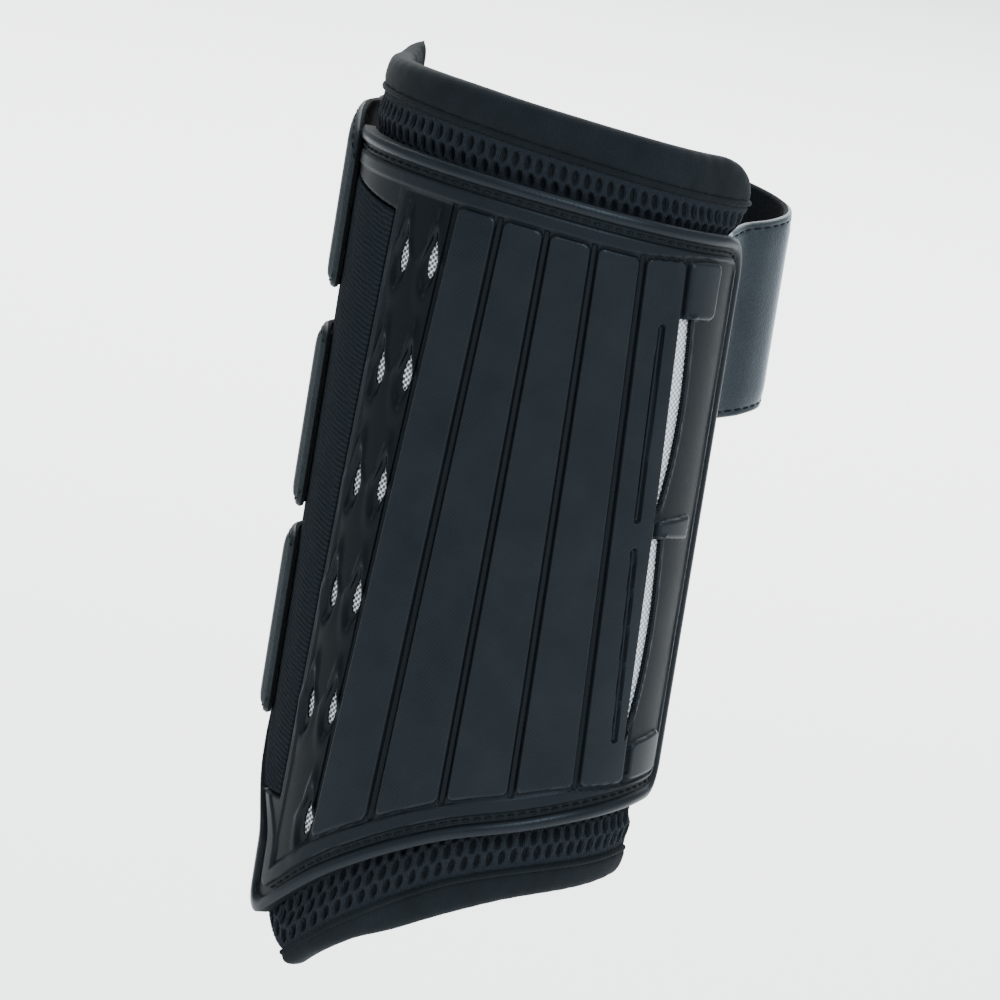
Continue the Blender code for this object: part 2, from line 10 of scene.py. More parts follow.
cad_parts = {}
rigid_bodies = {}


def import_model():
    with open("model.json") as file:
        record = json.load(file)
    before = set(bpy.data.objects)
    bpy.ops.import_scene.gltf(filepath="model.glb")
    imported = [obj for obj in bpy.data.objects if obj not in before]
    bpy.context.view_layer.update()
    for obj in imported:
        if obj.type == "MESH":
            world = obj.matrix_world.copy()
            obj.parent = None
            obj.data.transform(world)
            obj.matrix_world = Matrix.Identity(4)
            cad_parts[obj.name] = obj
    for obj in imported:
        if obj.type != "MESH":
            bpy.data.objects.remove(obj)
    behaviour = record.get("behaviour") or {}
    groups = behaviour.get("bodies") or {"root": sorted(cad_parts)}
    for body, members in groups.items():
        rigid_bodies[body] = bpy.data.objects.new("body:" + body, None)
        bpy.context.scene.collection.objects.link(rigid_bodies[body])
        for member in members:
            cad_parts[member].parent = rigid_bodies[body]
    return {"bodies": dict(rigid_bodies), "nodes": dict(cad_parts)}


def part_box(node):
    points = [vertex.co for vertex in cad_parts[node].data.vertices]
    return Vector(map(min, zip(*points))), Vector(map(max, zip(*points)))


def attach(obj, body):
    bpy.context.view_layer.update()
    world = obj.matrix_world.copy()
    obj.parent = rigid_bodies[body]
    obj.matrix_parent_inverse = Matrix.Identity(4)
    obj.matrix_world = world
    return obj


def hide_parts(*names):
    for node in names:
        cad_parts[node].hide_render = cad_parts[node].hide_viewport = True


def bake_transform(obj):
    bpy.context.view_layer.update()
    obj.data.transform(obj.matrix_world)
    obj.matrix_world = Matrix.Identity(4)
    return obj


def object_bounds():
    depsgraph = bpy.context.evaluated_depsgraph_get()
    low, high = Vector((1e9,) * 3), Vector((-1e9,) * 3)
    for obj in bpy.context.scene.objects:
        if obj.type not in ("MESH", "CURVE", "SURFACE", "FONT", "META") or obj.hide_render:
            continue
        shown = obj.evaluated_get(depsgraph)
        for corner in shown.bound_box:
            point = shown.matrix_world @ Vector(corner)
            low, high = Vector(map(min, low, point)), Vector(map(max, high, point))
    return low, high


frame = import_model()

CAD_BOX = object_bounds()
MM = 0.001

# The section that every layer follows, and where the layers lie outside the shell's outer face (mm)
HALF_WIDTH = -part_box("loop_strip")[0].x / MM
FRONT_DEPTH, BACK_DEPTH, ROUNDNESS = 42.0, 36.0, 2.3
SHELL_INSIDE = -2.7
BACKING_OUT = (-3.1, -3.5)
SPACER_OUT = (-3.9, -6.8)
LINER_OUT = (-7.3, -10.1)
COLLAR_OUT = -3.0
STRIP_RECESS = 1.5
STRIP_GAP = 0.3
VENT_LIP_RISE, SLOT_LIP_RISE = 0.95, 1.7
MESH_PITCH = 0.78

# Rims
SHELL_TOP, SHELL_TOP_LEAN = 88.2, -0.118
SPACER_TOP, SPACER_TOP_LEAN = 97.0, -0.145
COLLAR_TOP, COLLAR_TOP_LEAN = 107.6, -0.13
SHELL_BOTTOM_LINE = ((-104, -150), (-66, -123), (-48, -110.8), (-28, -96.5), (-3, -84.2),
                     (23, -77.6), (49, -73), (75, -69))
BAND_LEFT, BAND_RIGHT = 14.0, 10.0
COLLAR_DROP_LEFT, COLLAR_DROP_RIGHT = 9.5, 6.3
COLLAR_HEM = ((-60, 3.5), (-48, 3.5), (-35, 2.9), (-24, 0.1), (-14, -3.5), (-5, -4.3),
              (5, -4.0), (20, -2.9), (40, -2.5), (62, -2.2))

# Side edges
SHELL_LEFT, SHELL_LEFT_LOW, SHELL_RIGHT = -84.0, -60.0, 68.0
SHELL_NARROWS = (58.0, 96.0)
LINER_LEFT, LINER_LEFT_LOW, LINER_RIGHT = -104.0, -59.0, 62.0
SPACER_LEFT, SPACER_LEFT_LOW, SPACER_RIGHT = -100.0, -57.5, 60.5
LINING_NARROWS = (45.0, 108.0)
LINING_LEVELS_AT = -44.0
LOW_CORNER, LOW_CORNER_RISE = 15.0, 12.0
CORNER_RADIUS = 9.0

# Relief of the shell
REF_TOP, REF_BOTTOM = 76.0, -80.0
GROOVES = ((-25.2, -37.6), (-12.6, -21.4), (0.0, -3.6), (12.8, 14.2), (26.0, 31.7), (39.6, 47.6))
STRIP_RIGHT = (-43.6, -52.4)
GROOVE_HALF, GROOVE_LAP = 1.0, 0.3
RIB_RISE, RIB_ROUND, RIB_CORNER = 1.0, 0.55, 1.8
CHANNEL_CUT, CHANNEL_HALF, CHANNEL_ROUND = 0.6, 0.85, 0.5
FIELD_INSET = 10.0
VENT_TOP, VENT_PITCH = 65.9, 30.2
VENT_HALF = (1.45, 5.1)
VENT_COLUMNS = ((-38.0, 0.066, 5), (-29.1, 0.0735, 6))
SLOT_PEAKS, SLOT_LENGTH, SLOT_WIDTH = (60.2, 1.8), 53.8, 5.2
SLOT_AROUND, SLOT_LEAN = 40.4, -0.036
SLOT_LEAF = ((0.0, 0.78), (0.2, 0.93), (0.41, 1.0), (0.65, 0.86), (0.86, 0.52), (0.95, 0.27), (1.0, 0.05))
SLITS = ((34.1, 58.6, 36.2, 6.0), (36.8, -0.7, 40.4, -52.6))
SLIT_HALF, SLIT_CORNER, SLIT_DEPTH, SLIT_RIDGE = 1.05, 1.0, 1.0, 0.5
STRIP_TOP, STRIP_TOP_LEAN, STRIP_BOTTOM, STRIP_MARGIN = 76.0, -0.22, -82.0, 3.5
STRIP_OVER_RIM = 11.3
BEAD_AT, BEAD_HALF, BEAD_RISE = 1.55, 1.75, 1.35
FLANGE_SINK, FLANGE_END = 0.35, (5.3, 5.9)
BORDER_RISE, BORDER_FROM, BORDER_TO = 0.45, (5.3, 5.8), (8.9, 9.4)
RIGHT_TIGHTER, RIGHT_PART = 2.5, (20, 50)
PADS = ((60.2, 90.0, 52.6, 0.0), (-90.0, -51.5, 60.4, 0.25))
PAD_CORNER, PAD_ROUND, PAD_LEANS_AT = 2.2, 0.9, 52
WEDGE_SIDES, WEDGE_AT, WEDGE_LEVEL, WEDGE_LEAN = (43.4, 57.2), 42.5, 4.4, 0.04
WEDGE_HALF, WEDGE_SPREAD, WEDGE_CORNER, WEDGE_ROUND = 2.1, 0.083, 1.0, 1.1
GLOSS_INSET, GLOSS_CORNER, GLOSS_SINK, GLOSS_ROUND = 2.6, 1.5, 0.5, 0.5
LOW_GLOSS_LEVELS, LOW_GLOSS_EDGE = (-66, -72), (3.5, 5.5)
DISH_SHIFT, DISH_GROWS, DISH_SINK, DISH_SLOPE = (0.7, 0.8), 0.95, 0.7, (-0.7, 0.35)
HOOD_RISE, HOOD_AT, HOOD_WIDE = 0.5, 0.6, 0.85
SLOT_RIM_RISE, SLOT_RIM_AT, SLOT_RIM_WIDE = 0.55, 0.6, 0.55
STITCH_INSET, STITCHED_FROM, STITCHED_TO = 4.4, -76.0, -50.0

# Cloth parts
CELL_WIDE, CELL_HIGH, CELL_HALF, CELL_DEEP, CELL_MARGIN = 3.3, 4.3, (0.95, 1.9), 1.3, 2.2
SPACER_TUCK, SPACER_BAND, HEM_ROUND, HEM_DROP = 1.0, 19.5, 1.2, 0.8
ROLL_RISE, ROLL_AT, ROLL_WIDE, ROLL_ENDS = 0.9, 6.5, 3.5, 10.5
PIPING_RADIUS, PIPING_OFF = 0.85, 1.1
FURROW_PERIOD, FURROW_RISE, NAP_RISE = 1.3, 0.09, 0.05
COLLAR_POWER, COLLAR_HALF_DEPTH, COLLAR_SINK = 0.72, 3.25, 3.2
COLLAR_END_ROUND, COLLAR_CLOSES = 5.0, 3.0
HORN_LONG, HORN_TIP, HORN_LEANS, HORN_RIGHT_DROP, HORN_RIGHT_LONG = 17, 12, 4.5, 5.5, 14
SWELL_LIMIT, SWELL_FRAMES = 0.9, 20

# Straps
STRAPS = (
    ("top", 53.0, 51.0, 55.6, 76.0),
    ("middle", 44.0, 50.0, 6.8, 16.5),
    ("bottom", 44.0, 51.0, -39.5, -39.0),
)
STRAP_THICK = 2.2
ANCHOR_FROM, ANCHOR_TO, ANCHOR_MIDDLE_OUT = 62.5, 72.0, -4.2
STRAP_START_GAP = 1.5
TAB_OUT, TAB_END, TAB_BEND, TAB_CORNER = 2.8, -68.0, -90.0, (5.0, 4.0)
WIDE_LOOP = ((51.2, 5.5), (57.5, 9.0), (62.0, 16.0), (61.0, 26.0), (53.0, 36.5), (39.0, 44.5), (24.0, 47.0))
CLOSE_LOOP = ((48.6, 5.0), (49.6, 13.0), (47.4, 24.5), (39.0, 34.5), (28.0, 40.4), (20.0, 42.0))
WIDE_BACK, CLOSE_BACK, FLAT_LEFT = 47.0, 42.0, -20.0
LEFT_TURN = ((-34.0, 0.965), (-44.0, 0.86), (-48.0, 0.765))
TAB_OVERLAP, TAB_HUG, TAB_LIFT = 14.0, 1.1, 1.9
SEAM_INSET, SEAM_PITCH = 1.9, 2.9

# Studio (m, degrees)
FLOOR_SIDE, FLOOR_DROP = 30.0, 0.35
SKY, SKY_STRENGTH = (0.82, 0.92, 1), 0.76
LIGHTS = (
    ("key", (0.7, -1.8, 1.3), 0.8, 42),
    ("side", (1.6, -0.3, 0.3), 0.6, 1.2),
    ("rim", (0.8, 1.6, 0.3), 0.5, 6),
    ("left", (-1.7, -0.9, 0.5), 0.5, 2.5),
    ("top", (0.0, -0.1, 1.9), 0.9, 9),
    ("backdrop", (0.0, 5.0, 3.5), 5.0, 1200),
)
CAMERA_RISE, CAMERA_LEAN, CAMERA_DISTANCE = 8.0, 9.2, 2.2
CAMERA_AIM, CAMERA_SHOWS, SENSOR = (-0.00098, 0.00146), 0.2646, 36.0


# ---------------------------------------------------------------- geometry of the section

def smooth(low, high, value):
    t = np.clip((value - low) / (high - low), 0, 1)
    return t * t * (3 - 2 * t)


def mix(a, b, t):
    return a + (b - a) * t


def reach_of(points):
    """Distance along a line of points, from its start."""
    return np.concatenate([[0], np.cumsum(np.linalg.norm(np.diff(points, axis=0), axis=1))])


def section_table(steps=3600):
    turn = np.linspace(-math.pi, math.pi, steps + 1)
    power = 2 / ROUNDNESS
    x = HALF_WIDTH * np.sign(np.sin(turn)) * np.abs(np.sin(turn)) ** power
    depth = np.where(np.cos(turn) > 0, FRONT_DEPTH, BACK_DEPTH)
    y = -depth * np.sign(np.cos(turn)) * np.abs(np.cos(turn)) ** power
    along = reach_of(np.stack([x, y], 1))
    return along - along[steps // 2], x, y


AROUND, SECTION_X, SECTION_Y = section_table()


def section_normal(x, y):
    """Unit direction out of the limb at plan places (mm)."""
    depth = np.where(y < 0, FRONT_DEPTH, BACK_DEPTH)
    nx = np.sign(x) * np.abs(x / HALF_WIDTH) ** (ROUNDNESS - 1) / HALF_WIDTH
    ny = np.sign(y) * np.abs(y / depth) ** (ROUNDNESS - 1) / depth
    size = np.hypot(nx, ny)
    return nx / size, ny / size


def section_xy(around, out=0.0):
    x, y = np.interp(around, AROUND, SECTION_X), np.interp(around, AROUND, SECTION_Y)
    nx, ny = section_normal(x, y)
    return x + nx * out, y + ny * out


def wrap(around, height, out):
    """Points in metres from around, height and out in millimetres."""
    around, height, out = np.broadcast_arrays(np.asarray(around, float), height, out)
    x, y = section_xy(around, out)
    return np.stack([x, y, height], -1) * MM


def spline(points, value):
    """Catmull-Rom line through points, read at value."""
    xs, ys = np.array([p[0] for p in points], float), np.array([p[1] for p in points], float)
    i = np.clip(np.searchsorted(xs, value) - 1, 0, len(xs) - 2)
    before, after = np.maximum(i - 1, 0), np.minimum(i + 2, len(xs) - 1)
    span = xs[i + 1] - xs[i]
    slope_in = (ys[i + 1] - ys[before]) / (xs[i + 1] - xs[before]) * span
    slope_out = (ys[after] - ys[i]) / (xs[after] - xs[i]) * span
    t = (value - xs[i]) / span
    start = (2 * t**3 - 3 * t**2 + 1) * ys[i] + (t**3 - 2 * t**2 + t) * slope_in
    return start + (3 * t**2 - 2 * t**3) * ys[i + 1] + (t**3 - t**2) * slope_out


def leaning(height, lean, around):
    return height + lean * section_xy(around)[0]


def shell_top(s):
    return leaning(SHELL_TOP, SHELL_TOP_LEAN, s) - 3.6 * np.clip((s - 53) / 15, 0, 1) ** 2


def bottom_line(s):
    return spline(SHELL_BOTTOM_LINE, s)


def shell_bottom(s):
    return bottom_line(s) + 2.8 * smooth(8, 58, s)


def spacer_top(s):
    return leaning(SPACER_TOP, SPACER_TOP_LEAN, s)


def spacer_bottom(s):
    level = bottom_line(np.maximum(s, LINING_LEVELS_AT)) - mix(BAND_LEFT, BAND_RIGHT, smooth(-40, 25, s))
    into_corner = np.clip(1 - (s - SPACER_LEFT_LOW) / LOW_CORNER, 0, 1.2)
    return level + LOW_CORNER_RISE * into_corner**2


def liner_top(s):
    return leaning(COLLAR_TOP, COLLAR_TOP_LEAN, s)


def liner_bottom(s):
    return spacer_bottom(s) - mix(COLLAR_DROP_LEFT, COLLAR_DROP_RIGHT, smooth(-35, -12, s))


def narrowing(high, low, between):
    return lambda z: mix(high, low, smooth(between[0], between[1], -z))


shell_left = narrowing(SHELL_LEFT, SHELL_LEFT_LOW, SHELL_NARROWS)
liner_left = narrowing(LINER_LEFT, LINER_LEFT_LOW, LINING_NARROWS)
spacer_left = narrowing(SPACER_LEFT, SPACER_LEFT_LOW, LINING_NARROWS)


def fan(s_top, s_bottom):
    return lambda z: mix(s_bottom, s_top, (z - REF_BOTTOM) / (REF_TOP - REF_BOTTOM))


GROOVE_LINES = [fan(*g) for g in GROOVES]
strip_line = fan(*STRIP_RIGHT)


def strip_top(s):
    return STRIP_TOP + STRIP_TOP_LEAN * (s - STRIP_RIGHT[0])


def rounded_min(a, b, radius):
    """The lesser of two inside distances, with their corner rounded to the radius."""
    corner = radius - np.hypot(radius - a, radius - b)
    return np.where((a < radius) & (b < radius), corner, np.minimum(a, b))


# ---------------------------------------------------------------- meshes from arrays

def mesh_object(name, points, faces, materials, index=None, wrap_at=None, sharp=40):
    """A mesh object from point and quad arrays, its faces turned outwards."""
    points, faces = np.asarray(points, float).reshape(-1, 3), np.asarray(faces)
    used, faces = np.unique(faces, return_inverse=True)
    faces = faces.reshape(-1, 4)
    points = points[used]
    a, b, c, d = (points[faces[:, k]] for k in range(4))
    volume = (np.cross(b, c) * a).sum() + (np.cross(c, d) * a).sum()
    if volume < 0:
        faces = faces[:, ::-1]
    data = bpy.data.meshes.new(name)
    data.vertices.add(len(points))
    data.vertices.foreach_set("co", points.astype(np.float32).ravel())
    data.loops.add(faces.size)
    data.loops.foreach_set("vertex_index", np.ascontiguousarray(faces, np.int32).ravel())
    data.polygons.add(len(faces))
    data.polygons.foreach_set("loop_start", np.arange(0, faces.size, 4, dtype=np.int32))
    if index is not None:
        data.polygons.foreach_set("material_index", np.asarray(index, np.int32))
    data.update(calc_edges=True)
    data.validate()
    if wrap_at is not None:
        attribute = data.attributes.new("wrap", "FLOAT_VECTOR", "POINT")
        attribute.data.foreach_set("vector", np.asarray(wrap_at, np.float32).reshape(-1, 3)[used].ravel())
    data.shade_smooth()
    data.set_sharp_from_angle(angle=math.radians(sharp))
    obj = bpy.data.objects.new(name, data)
    for material in materials:
        data.materials.append(material)
    bpy.context.scene.collection.objects.link(obj)
    return obj


def grid_faces(columns, rows, keep=None):
    """Quads of a closed two-layer grid: outer layer first, inner layer after columns * rows points."""
    keep = np.ones((columns - 1, rows - 1), bool) if keep is None else keep
    ids = np.arange(columns * rows).reshape(columns, rows)
    under = columns * rows
    a, b, c, d = ids[:-1, :-1], ids[1:, :-1], ids[1:, 1:], ids[:-1, 1:]
    near = np.zeros((columns + 1, rows + 1), bool)
    near[1:-1, 1:-1] = keep
    sides = ((near[1:-1, :-2], a, b), (near[2:, 1:-1], b, c),
             (near[1:-1, 2:], c, d), (near[:-2, 1:-1], d, a))
    outer = np.stack([a, b, c, d], -1)[keep]
    inner = np.stack([a, d, c, b], -1)[keep] + under
    walls = []
    for beside, start, end in sides:
        open_side = keep & ~beside
        p, q = start[open_side], end[open_side]
        walls.append(np.stack([q, p, p + under, q + under], -1))
    return outer, inner, np.concatenate(walls)


def grid_solid(name, outer, inner, materials, keep=None, face_slots=None, wrap_at=None, sharp=40):
    """A closed solid between two grids.

    face_slots gives the material of each outer cell, and the rest take the last one.
    """
    columns, rows = outer.shape[:2]
    front, back, walls = grid_faces(columns, rows, keep)
    if face_slots is None:
        slots = np.zeros(len(front), int)
    else:
        slots = face_slots if keep is None else face_slots[keep]
    slots = np.asarray(slots).ravel()
    last = len(materials) - 1
    index = np.concatenate([slots, np.full(len(back) + len(walls), last)])
    points = np.concatenate([outer.reshape(-1, 3), inner.reshape(-1, 3)])
    if wrap_at is not None:
        wrap_at = np.concatenate([wrap_at.reshape(-1, 3)] * 2)
    return mesh_object(name, points, np.concatenate([front, back, walls]), materials, index, wrap_at, sharp)


def ring_faces(ids):
    """Quads that join each ring of point numbers to the next."""
    after = np.roll(ids, -1, 1)
    return np.stack([ids[:-1], after[:-1], after[1:], ids[1:]], -1).reshape(-1, 4)


def crossing(column, row, start):
    """(around, height) where column lines and row lines meet, for arrays of both."""
    around = start
    for _ in range(40):
        around = 0.5 * (around + column(row(around)))
    return around, row(around)


def wrap_coordinates(s, z, h=0.0):
    s, z, h = np.broadcast_arrays(s, z, h)
    return np.stack([s, z, h], -1)


# ---------------------------------------------------------------- materials

def new_material(name, colour, roughness, **inputs):
    material = bpy.data.materials.new(name)
    material.use_nodes = True
    shader = material.node_tree.nodes["Principled BSDF"]
    shader.inputs["Base Color"].default_value = (*colour, 1)
    shader.inputs["Roughness"].default_value = roughness
    for key, value in inputs.items():
        shader.inputs[key.replace("_", " ")].default_value = value
    return material


WAVE_SCALE = 0.314  # A wave texture of this scale repeats once a unit


class Graph:
    """Short names for building a material's nodes."""

    def __init__(self, material):
        self.tree = material.node_tree
        self.shader = self.tree.nodes["Principled BSDF"]

    def node(self, kind, **settings):
        made = self.tree.nodes.new(kind)
        for key, value in settings.items():
            if hasattr(made, key):
                setattr(made, key, value)
            else:
                made.inputs[key.replace("_", " ")].default_value = value
        return made

    def link(self, source, target):
        self.tree.links.new(source, target)

    def attribute(self):
        return self.node("ShaderNodeAttribute", attribute_name="wrap").outputs["Vector"]

    def mapped(self, source, scale, turn=0.0):
        mapping = self.node("ShaderNodeMapping")
        mapping.inputs["Scale"].default_value = scale
        mapping.inputs["Rotation"].default_value = (0, 0, turn)
        self.link(source, mapping.inputs["Vector"])
        return mapping.outputs["Vector"]

    def wrap(self, scale=(1, 1, 1), turn=0.0):
        """Millimetres round and up the surface, scaled and turned."""
        return self.mapped(self.attribute(), scale, turn)

    def relief(self):
        """Height above the surface's plain face, in millimetres."""
        parts = self.node("ShaderNodeSeparateXYZ")
        self.link(self.attribute(), parts.inputs["Vector"])
        return parts.outputs["Z"]

    def space(self):
        """Object space in millimetres."""
        return self.mapped(self.node("ShaderNodeTexCoord").outputs["Object"], (1000,) * 3)

    def noise(self, at, scale, detail=3.0):
        made = self.node("ShaderNodeTexNoise", Scale=scale, Detail=detail, Roughness=0.55)
        self.link(at, made.inputs["Vector"])
        return made.outputs["Fac"]

    def waves(self, at, period, direction="X", distortion=0.0):
        """Bands with the given period in millimetres."""
        made = self.node("ShaderNodeTexWave", Scale=WAVE_SCALE / period, Distortion=distortion,
                         bands_direction=direction)
        made.wave_profile = "SIN"
        self.link(at, made.inputs["Vector"])
        return made.outputs["Fac"]

    def cells(self, at, scale):
        made = self.node("ShaderNodeTexVoronoi", Scale=scale)
        self.link(at, made.inputs["Vector"])
        return made.outputs["Distance"]

    def math(self, operation, a, b):
        made = self.node("ShaderNodeMath", operation=operation)
        for socket, value in zip(made.inputs, (a, b)):
            if isinstance(value, (int, float)):
                socket.default_value = value
            else:
                self.link(value, socket)
        return made.outputs[0]

    def ramp(self, source, low, high, to_low, to_high):
        made = self.node("ShaderNodeMapRange", From_Min=low, From_Max=high, To_Min=to_low, To_Max=to_high)
        self.link(source, made.inputs["Value"])
        return made.outputs["Result"]

    def colours(self, source, dark, light):
        made = self.node("ShaderNodeMix", data_type="RGBA")
        made.inputs[6].default_value = (*dark, 1)
        made.inputs[7].default_value = (*light, 1)
        self.link(source, made.inputs[0])
        self.link(made.outputs[2], self.shader.inputs["Base Color"])

    def rough(self, source):
        self.link(source, self.shader.inputs["Roughness"])

    def bump(self, *layers):
        """Stacks (height, strength, distance in mm) layers."""
        normal = None
        for height, strength, distance in layers:
            made = self.node("ShaderNodeBump", Strength=strength, Distance=distance * MM)
            self.link(height, made.inputs["Height"])
            if normal is not None:
                self.link(normal, made.inputs["Normal"])
            normal = made.outputs["Normal"]
        self.link(normal, self.shader.inputs["Normal"])


COOL = (0.8, 0.92, 1.0, 1.0)


def shell_material(name, low_rough, high_rough, twill, shine):
    """Moulded dark rubber: fine twill grain, faint cloudiness, edges made paler by wear and painted highlight,
    and channels duller, rougher and darkened with painted shade.
    """
    material = new_material(name, (0.006, 0.009, 0.0125), low_rough, Specular_IOR_Level=shine,
                            Specular_Tint=COOL)
    graph = Graph(material)
    at = graph.wrap()
    cloud = graph.noise(at, 0.06, 3)
    grain = graph.noise(at, 3.5, 2)
    weave_a = graph.waves(graph.wrap(turn=0.785), 0.9)
    weave_b = graph.waves(graph.wrap(turn=-0.785), 0.9)
    weave = graph.math("MULTIPLY", weave_a, weave_b)
    edges = graph.node("ShaderNodeNewGeometry").outputs["Pointiness"]
    # Paler along sharp edges: partly edge wear, partly painted highlight on the rib edges.
    edge_wear_and_painted_highlight = graph.ramp(edges, 0.51, 0.58, 0.0, 0.4)
    # Painted shade: the colour is darkened in the grooves, channels and other sunk places, where shade falls;
    # the same mask also makes them rougher.
    raised_clear_of_painted_shade = graph.ramp(graph.relief(), 0.1, 0.85, 0.0, 1.0)
    tone = graph.math("ADD", graph.math("MULTIPLY", cloud, graph.math("MULTIPLY", raised_clear_of_painted_shade, 0.8)), edge_wear_and_painted_highlight)
    graph.colours(tone, (0.0022, 0.0028, 0.0037), (0.011, 0.0135, 0.0165))
    sunk = graph.math("MULTIPLY", graph.math("SUBTRACT", 1.0, raised_clear_of_painted_shade), 0.15)
    speckle = graph.ramp(graph.math("ADD", cloud, grain), 0.6, 1.4, low_rough, high_rough)
    graph.rough(graph.math("ADD", speckle, sunk))
    graph.bump((weave, twill, 0.05), (grain, 0.25 * twill, 0.03))
    return material


def silver_material(name, ground):
    """Silver-white mesh: pale knots of thread on a darker ground, which may be grey."""
    material = new_material(name, (0.72, 0.73, 0.74), 0.5)
    graph = Graph(material)
    fibre = graph.noise(graph.wrap(), 4.0, 2)
    knots = graph.ramp(graph.relief(), -0.06, 0.1, 0.0, 1.0)
    tone = graph.math("MULTIPLY", knots, graph.ramp(fibre, 0.3, 0.6, 0.7, 1.0))
    graph.colours(tone, (ground, 1.05 * ground, 1.1 * ground), (0.95, 0.96, 0.98))
    graph.bump((fibre, 0.4, 0.08))
    return material


def spacer_material():
    """Navy-black knitted spacer mesh, its cells darkened with painted shade."""
    material = new_material("spacer_knit", (0.005, 0.0065, 0.01), 0.85, Specular_IOR_Level=0.15,
                            Sheen_Weight=0.03)
    graph = Graph(material)
    at = graph.wrap()
    fibre = graph.waves(graph.wrap((1, 0.35, 1)), 0.45, "X", 1.5)
    patch = graph.noise(at, 0.9, 3)
    # Painted shade: the colour is darker in the cells, as shade in their hollows.
    painted_hollow_shade = graph.math("MULTIPLY", graph.relief(), 0.25)
    tone = graph.math("ADD", graph.math("MULTIPLY", fibre, patch), painted_hollow_shade)
    graph.colours(tone, (0.004, 0.0055, 0.0075), (0.021, 0.028, 0.037))
    graph.bump((fibre, 0.6, 0.12), (patch, 0.3, 0.1))
    return material


def knit_material(name, dark, light, pitch):
    """Matte knit with fine upright ribs."""
    material = new_material(name, dark, 0.9, Specular_IOR_Level=0.12, Sheen_Weight=0.03)
    graph = Graph(material)
    ribs = graph.waves(graph.wrap(), pitch, "X", 0.6)
    rows = graph.waves(graph.wrap(), 1.2 * pitch, "Y", 0.4)
    fuzz = graph.noise(graph.space(), 2.6, 4)
    cloud = graph.noise(graph.space(), 0.08, 2)
    tone = graph.math("MULTIPLY", graph.math("ADD", graph.math("MULTIPLY", ribs, 0.35), fuzz), cloud)
    graph.colours(graph.ramp(tone, 0.1, 0.7, 0.0, 1.0), dark, light)
    graph.bump((ribs, 0.25, 0.12), (rows, 0.2, 0.08), (fuzz, 0.45, 0.14))
    return material


def pile_material():
    """Brushed loop pile, hatched on the slant."""
    material = new_material("loop_pile", (0.005, 0.006, 0.007), 0.95, Specular_IOR_Level=0.04)
    graph = Graph(material)
    hatch = graph.waves(graph.wrap(turn=-1.32), 1.3, "X", 2.5)
    cross = graph.waves(graph.wrap(turn=-1.05), 0.8, "X", 3.0)
    curl = graph.cells(graph.wrap(), 2.4)
    fuzz = graph.noise(graph.wrap(), 5.0, 4)
    strokes = graph.math("ADD", hatch, graph.math("MULTIPLY", cross, 0.3))
    tone = graph.math("MULTIPLY", strokes, fuzz)
    graph.colours(graph.ramp(tone, 0.2, 0.7, 0.0, 1.0), (0.008, 0.0102, 0.0125), (0.0175, 0.0215, 0.0255))
    graph.bump((hatch, 0.25, 0.15), (curl, 0.5, 0.25), (fuzz, 0.5, 0.2))
    return material


def leather_material(name, dark, light, roughness, specular, sheen):
    """Fine-grained strap face."""
    material = new_material(name, light, roughness, Specular_IOR_Level=specular, Specular_Tint=COOL,
                            Sheen_Weight=sheen, Sheen_Roughness=0.4, Sheen_Tint=COOL)
    graph = Graph(material)
    grain = graph.cells(graph.space(), 1.5)
    fine = graph.noise(graph.space(), 3.0, 4)
    cloud = graph.noise(graph.space(), 0.07, 3)
    tone = graph.math("MULTIPLY", graph.math("ADD", grain, fine), graph.math("ADD", cloud, 0.3))
    graph.colours(graph.ramp(tone, 0.3, 1.0, 0.0, 1.0), dark, light)
    graph.rough(graph.ramp(fine, 0.3, 0.7, roughness - 0.08, roughness + 0.1))
    graph.bump((grain, 0.5, 0.12), (fine, 0.35, 0.06))
    return material


def plush_material():
    """Brushed lining on the inside of the straps."""
    material = new_material("strap_lining", (0.005, 0.006, 0.0065), 0.95, Specular_IOR_Level=0.1,
                            Sheen_Weight=0.03)
    graph = Graph(material)
    fuzz = graph.noise(graph.space(), 2.2, 5)
    curl = graph.cells(graph.space(), 1.6)
    graph.colours(graph.math("MULTIPLY", fuzz, curl), (0.003, 0.0038, 0.0042), (0.013, 0.0155, 0.0165))
    graph.bump((fuzz, 0.6, 0.25), (curl, 0.6, 0.25))
    return material


def thread_material():
    """Twisted sewing thread."""
    material = new_material("thread", (0.01, 0.012, 0.014), 0.7, Specular_IOR_Level=0.12)
    graph = Graph(material)
    twist = graph.waves(graph.space(), 0.6, "DIAGONAL")
    graph.colours(twist, (0.002, 0.0028, 0.0035), (0.009, 0.0115, 0.0135))
    graph.bump((twist, 0.5, 0.08))
    return material


def hook_material():
    """Moulded hook field."""
    material = new_material("hook_field", (0.012, 0.012, 0.013), 0.6)
    graph = Graph(material)
    hooks = graph.cells(graph.space(), 0.9)
    graph.colours(hooks, (0.02, 0.02, 0.022), (0.008, 0.008, 0.009))
    graph.bump((hooks, 0.8, 0.4))
    return material


SATIN = shell_material("shell_satin", 0.34, 0.44, 0.4, 0.2)
GLOSS = shell_material("shell_gloss", 0.1, 0.18, 0.03, 0.15)
MATT = shell_material("shell_inside", 0.6, 0.7, 0.2, 0.1)
VENT_SILVER = silver_material("vent_silver", 0.07)
SLOT_SILVER = silver_material("slot_silver", 0.32)
SPACER = spacer_material()
COLLAR = knit_material("collar_knit", (0.0032, 0.0045, 0.0056), (0.0105, 0.0138, 0.0165), 0.7)
LINING = knit_material("lining_knit", (0.004, 0.005, 0.006), (0.013, 0.015, 0.018), 1.1)
PILE = pile_material()
STRAP = leather_material("strap_leather", (0.0056, 0.0072, 0.0082), (0.016, 0.0198, 0.0218), 0.5, 0.3, 0.55)
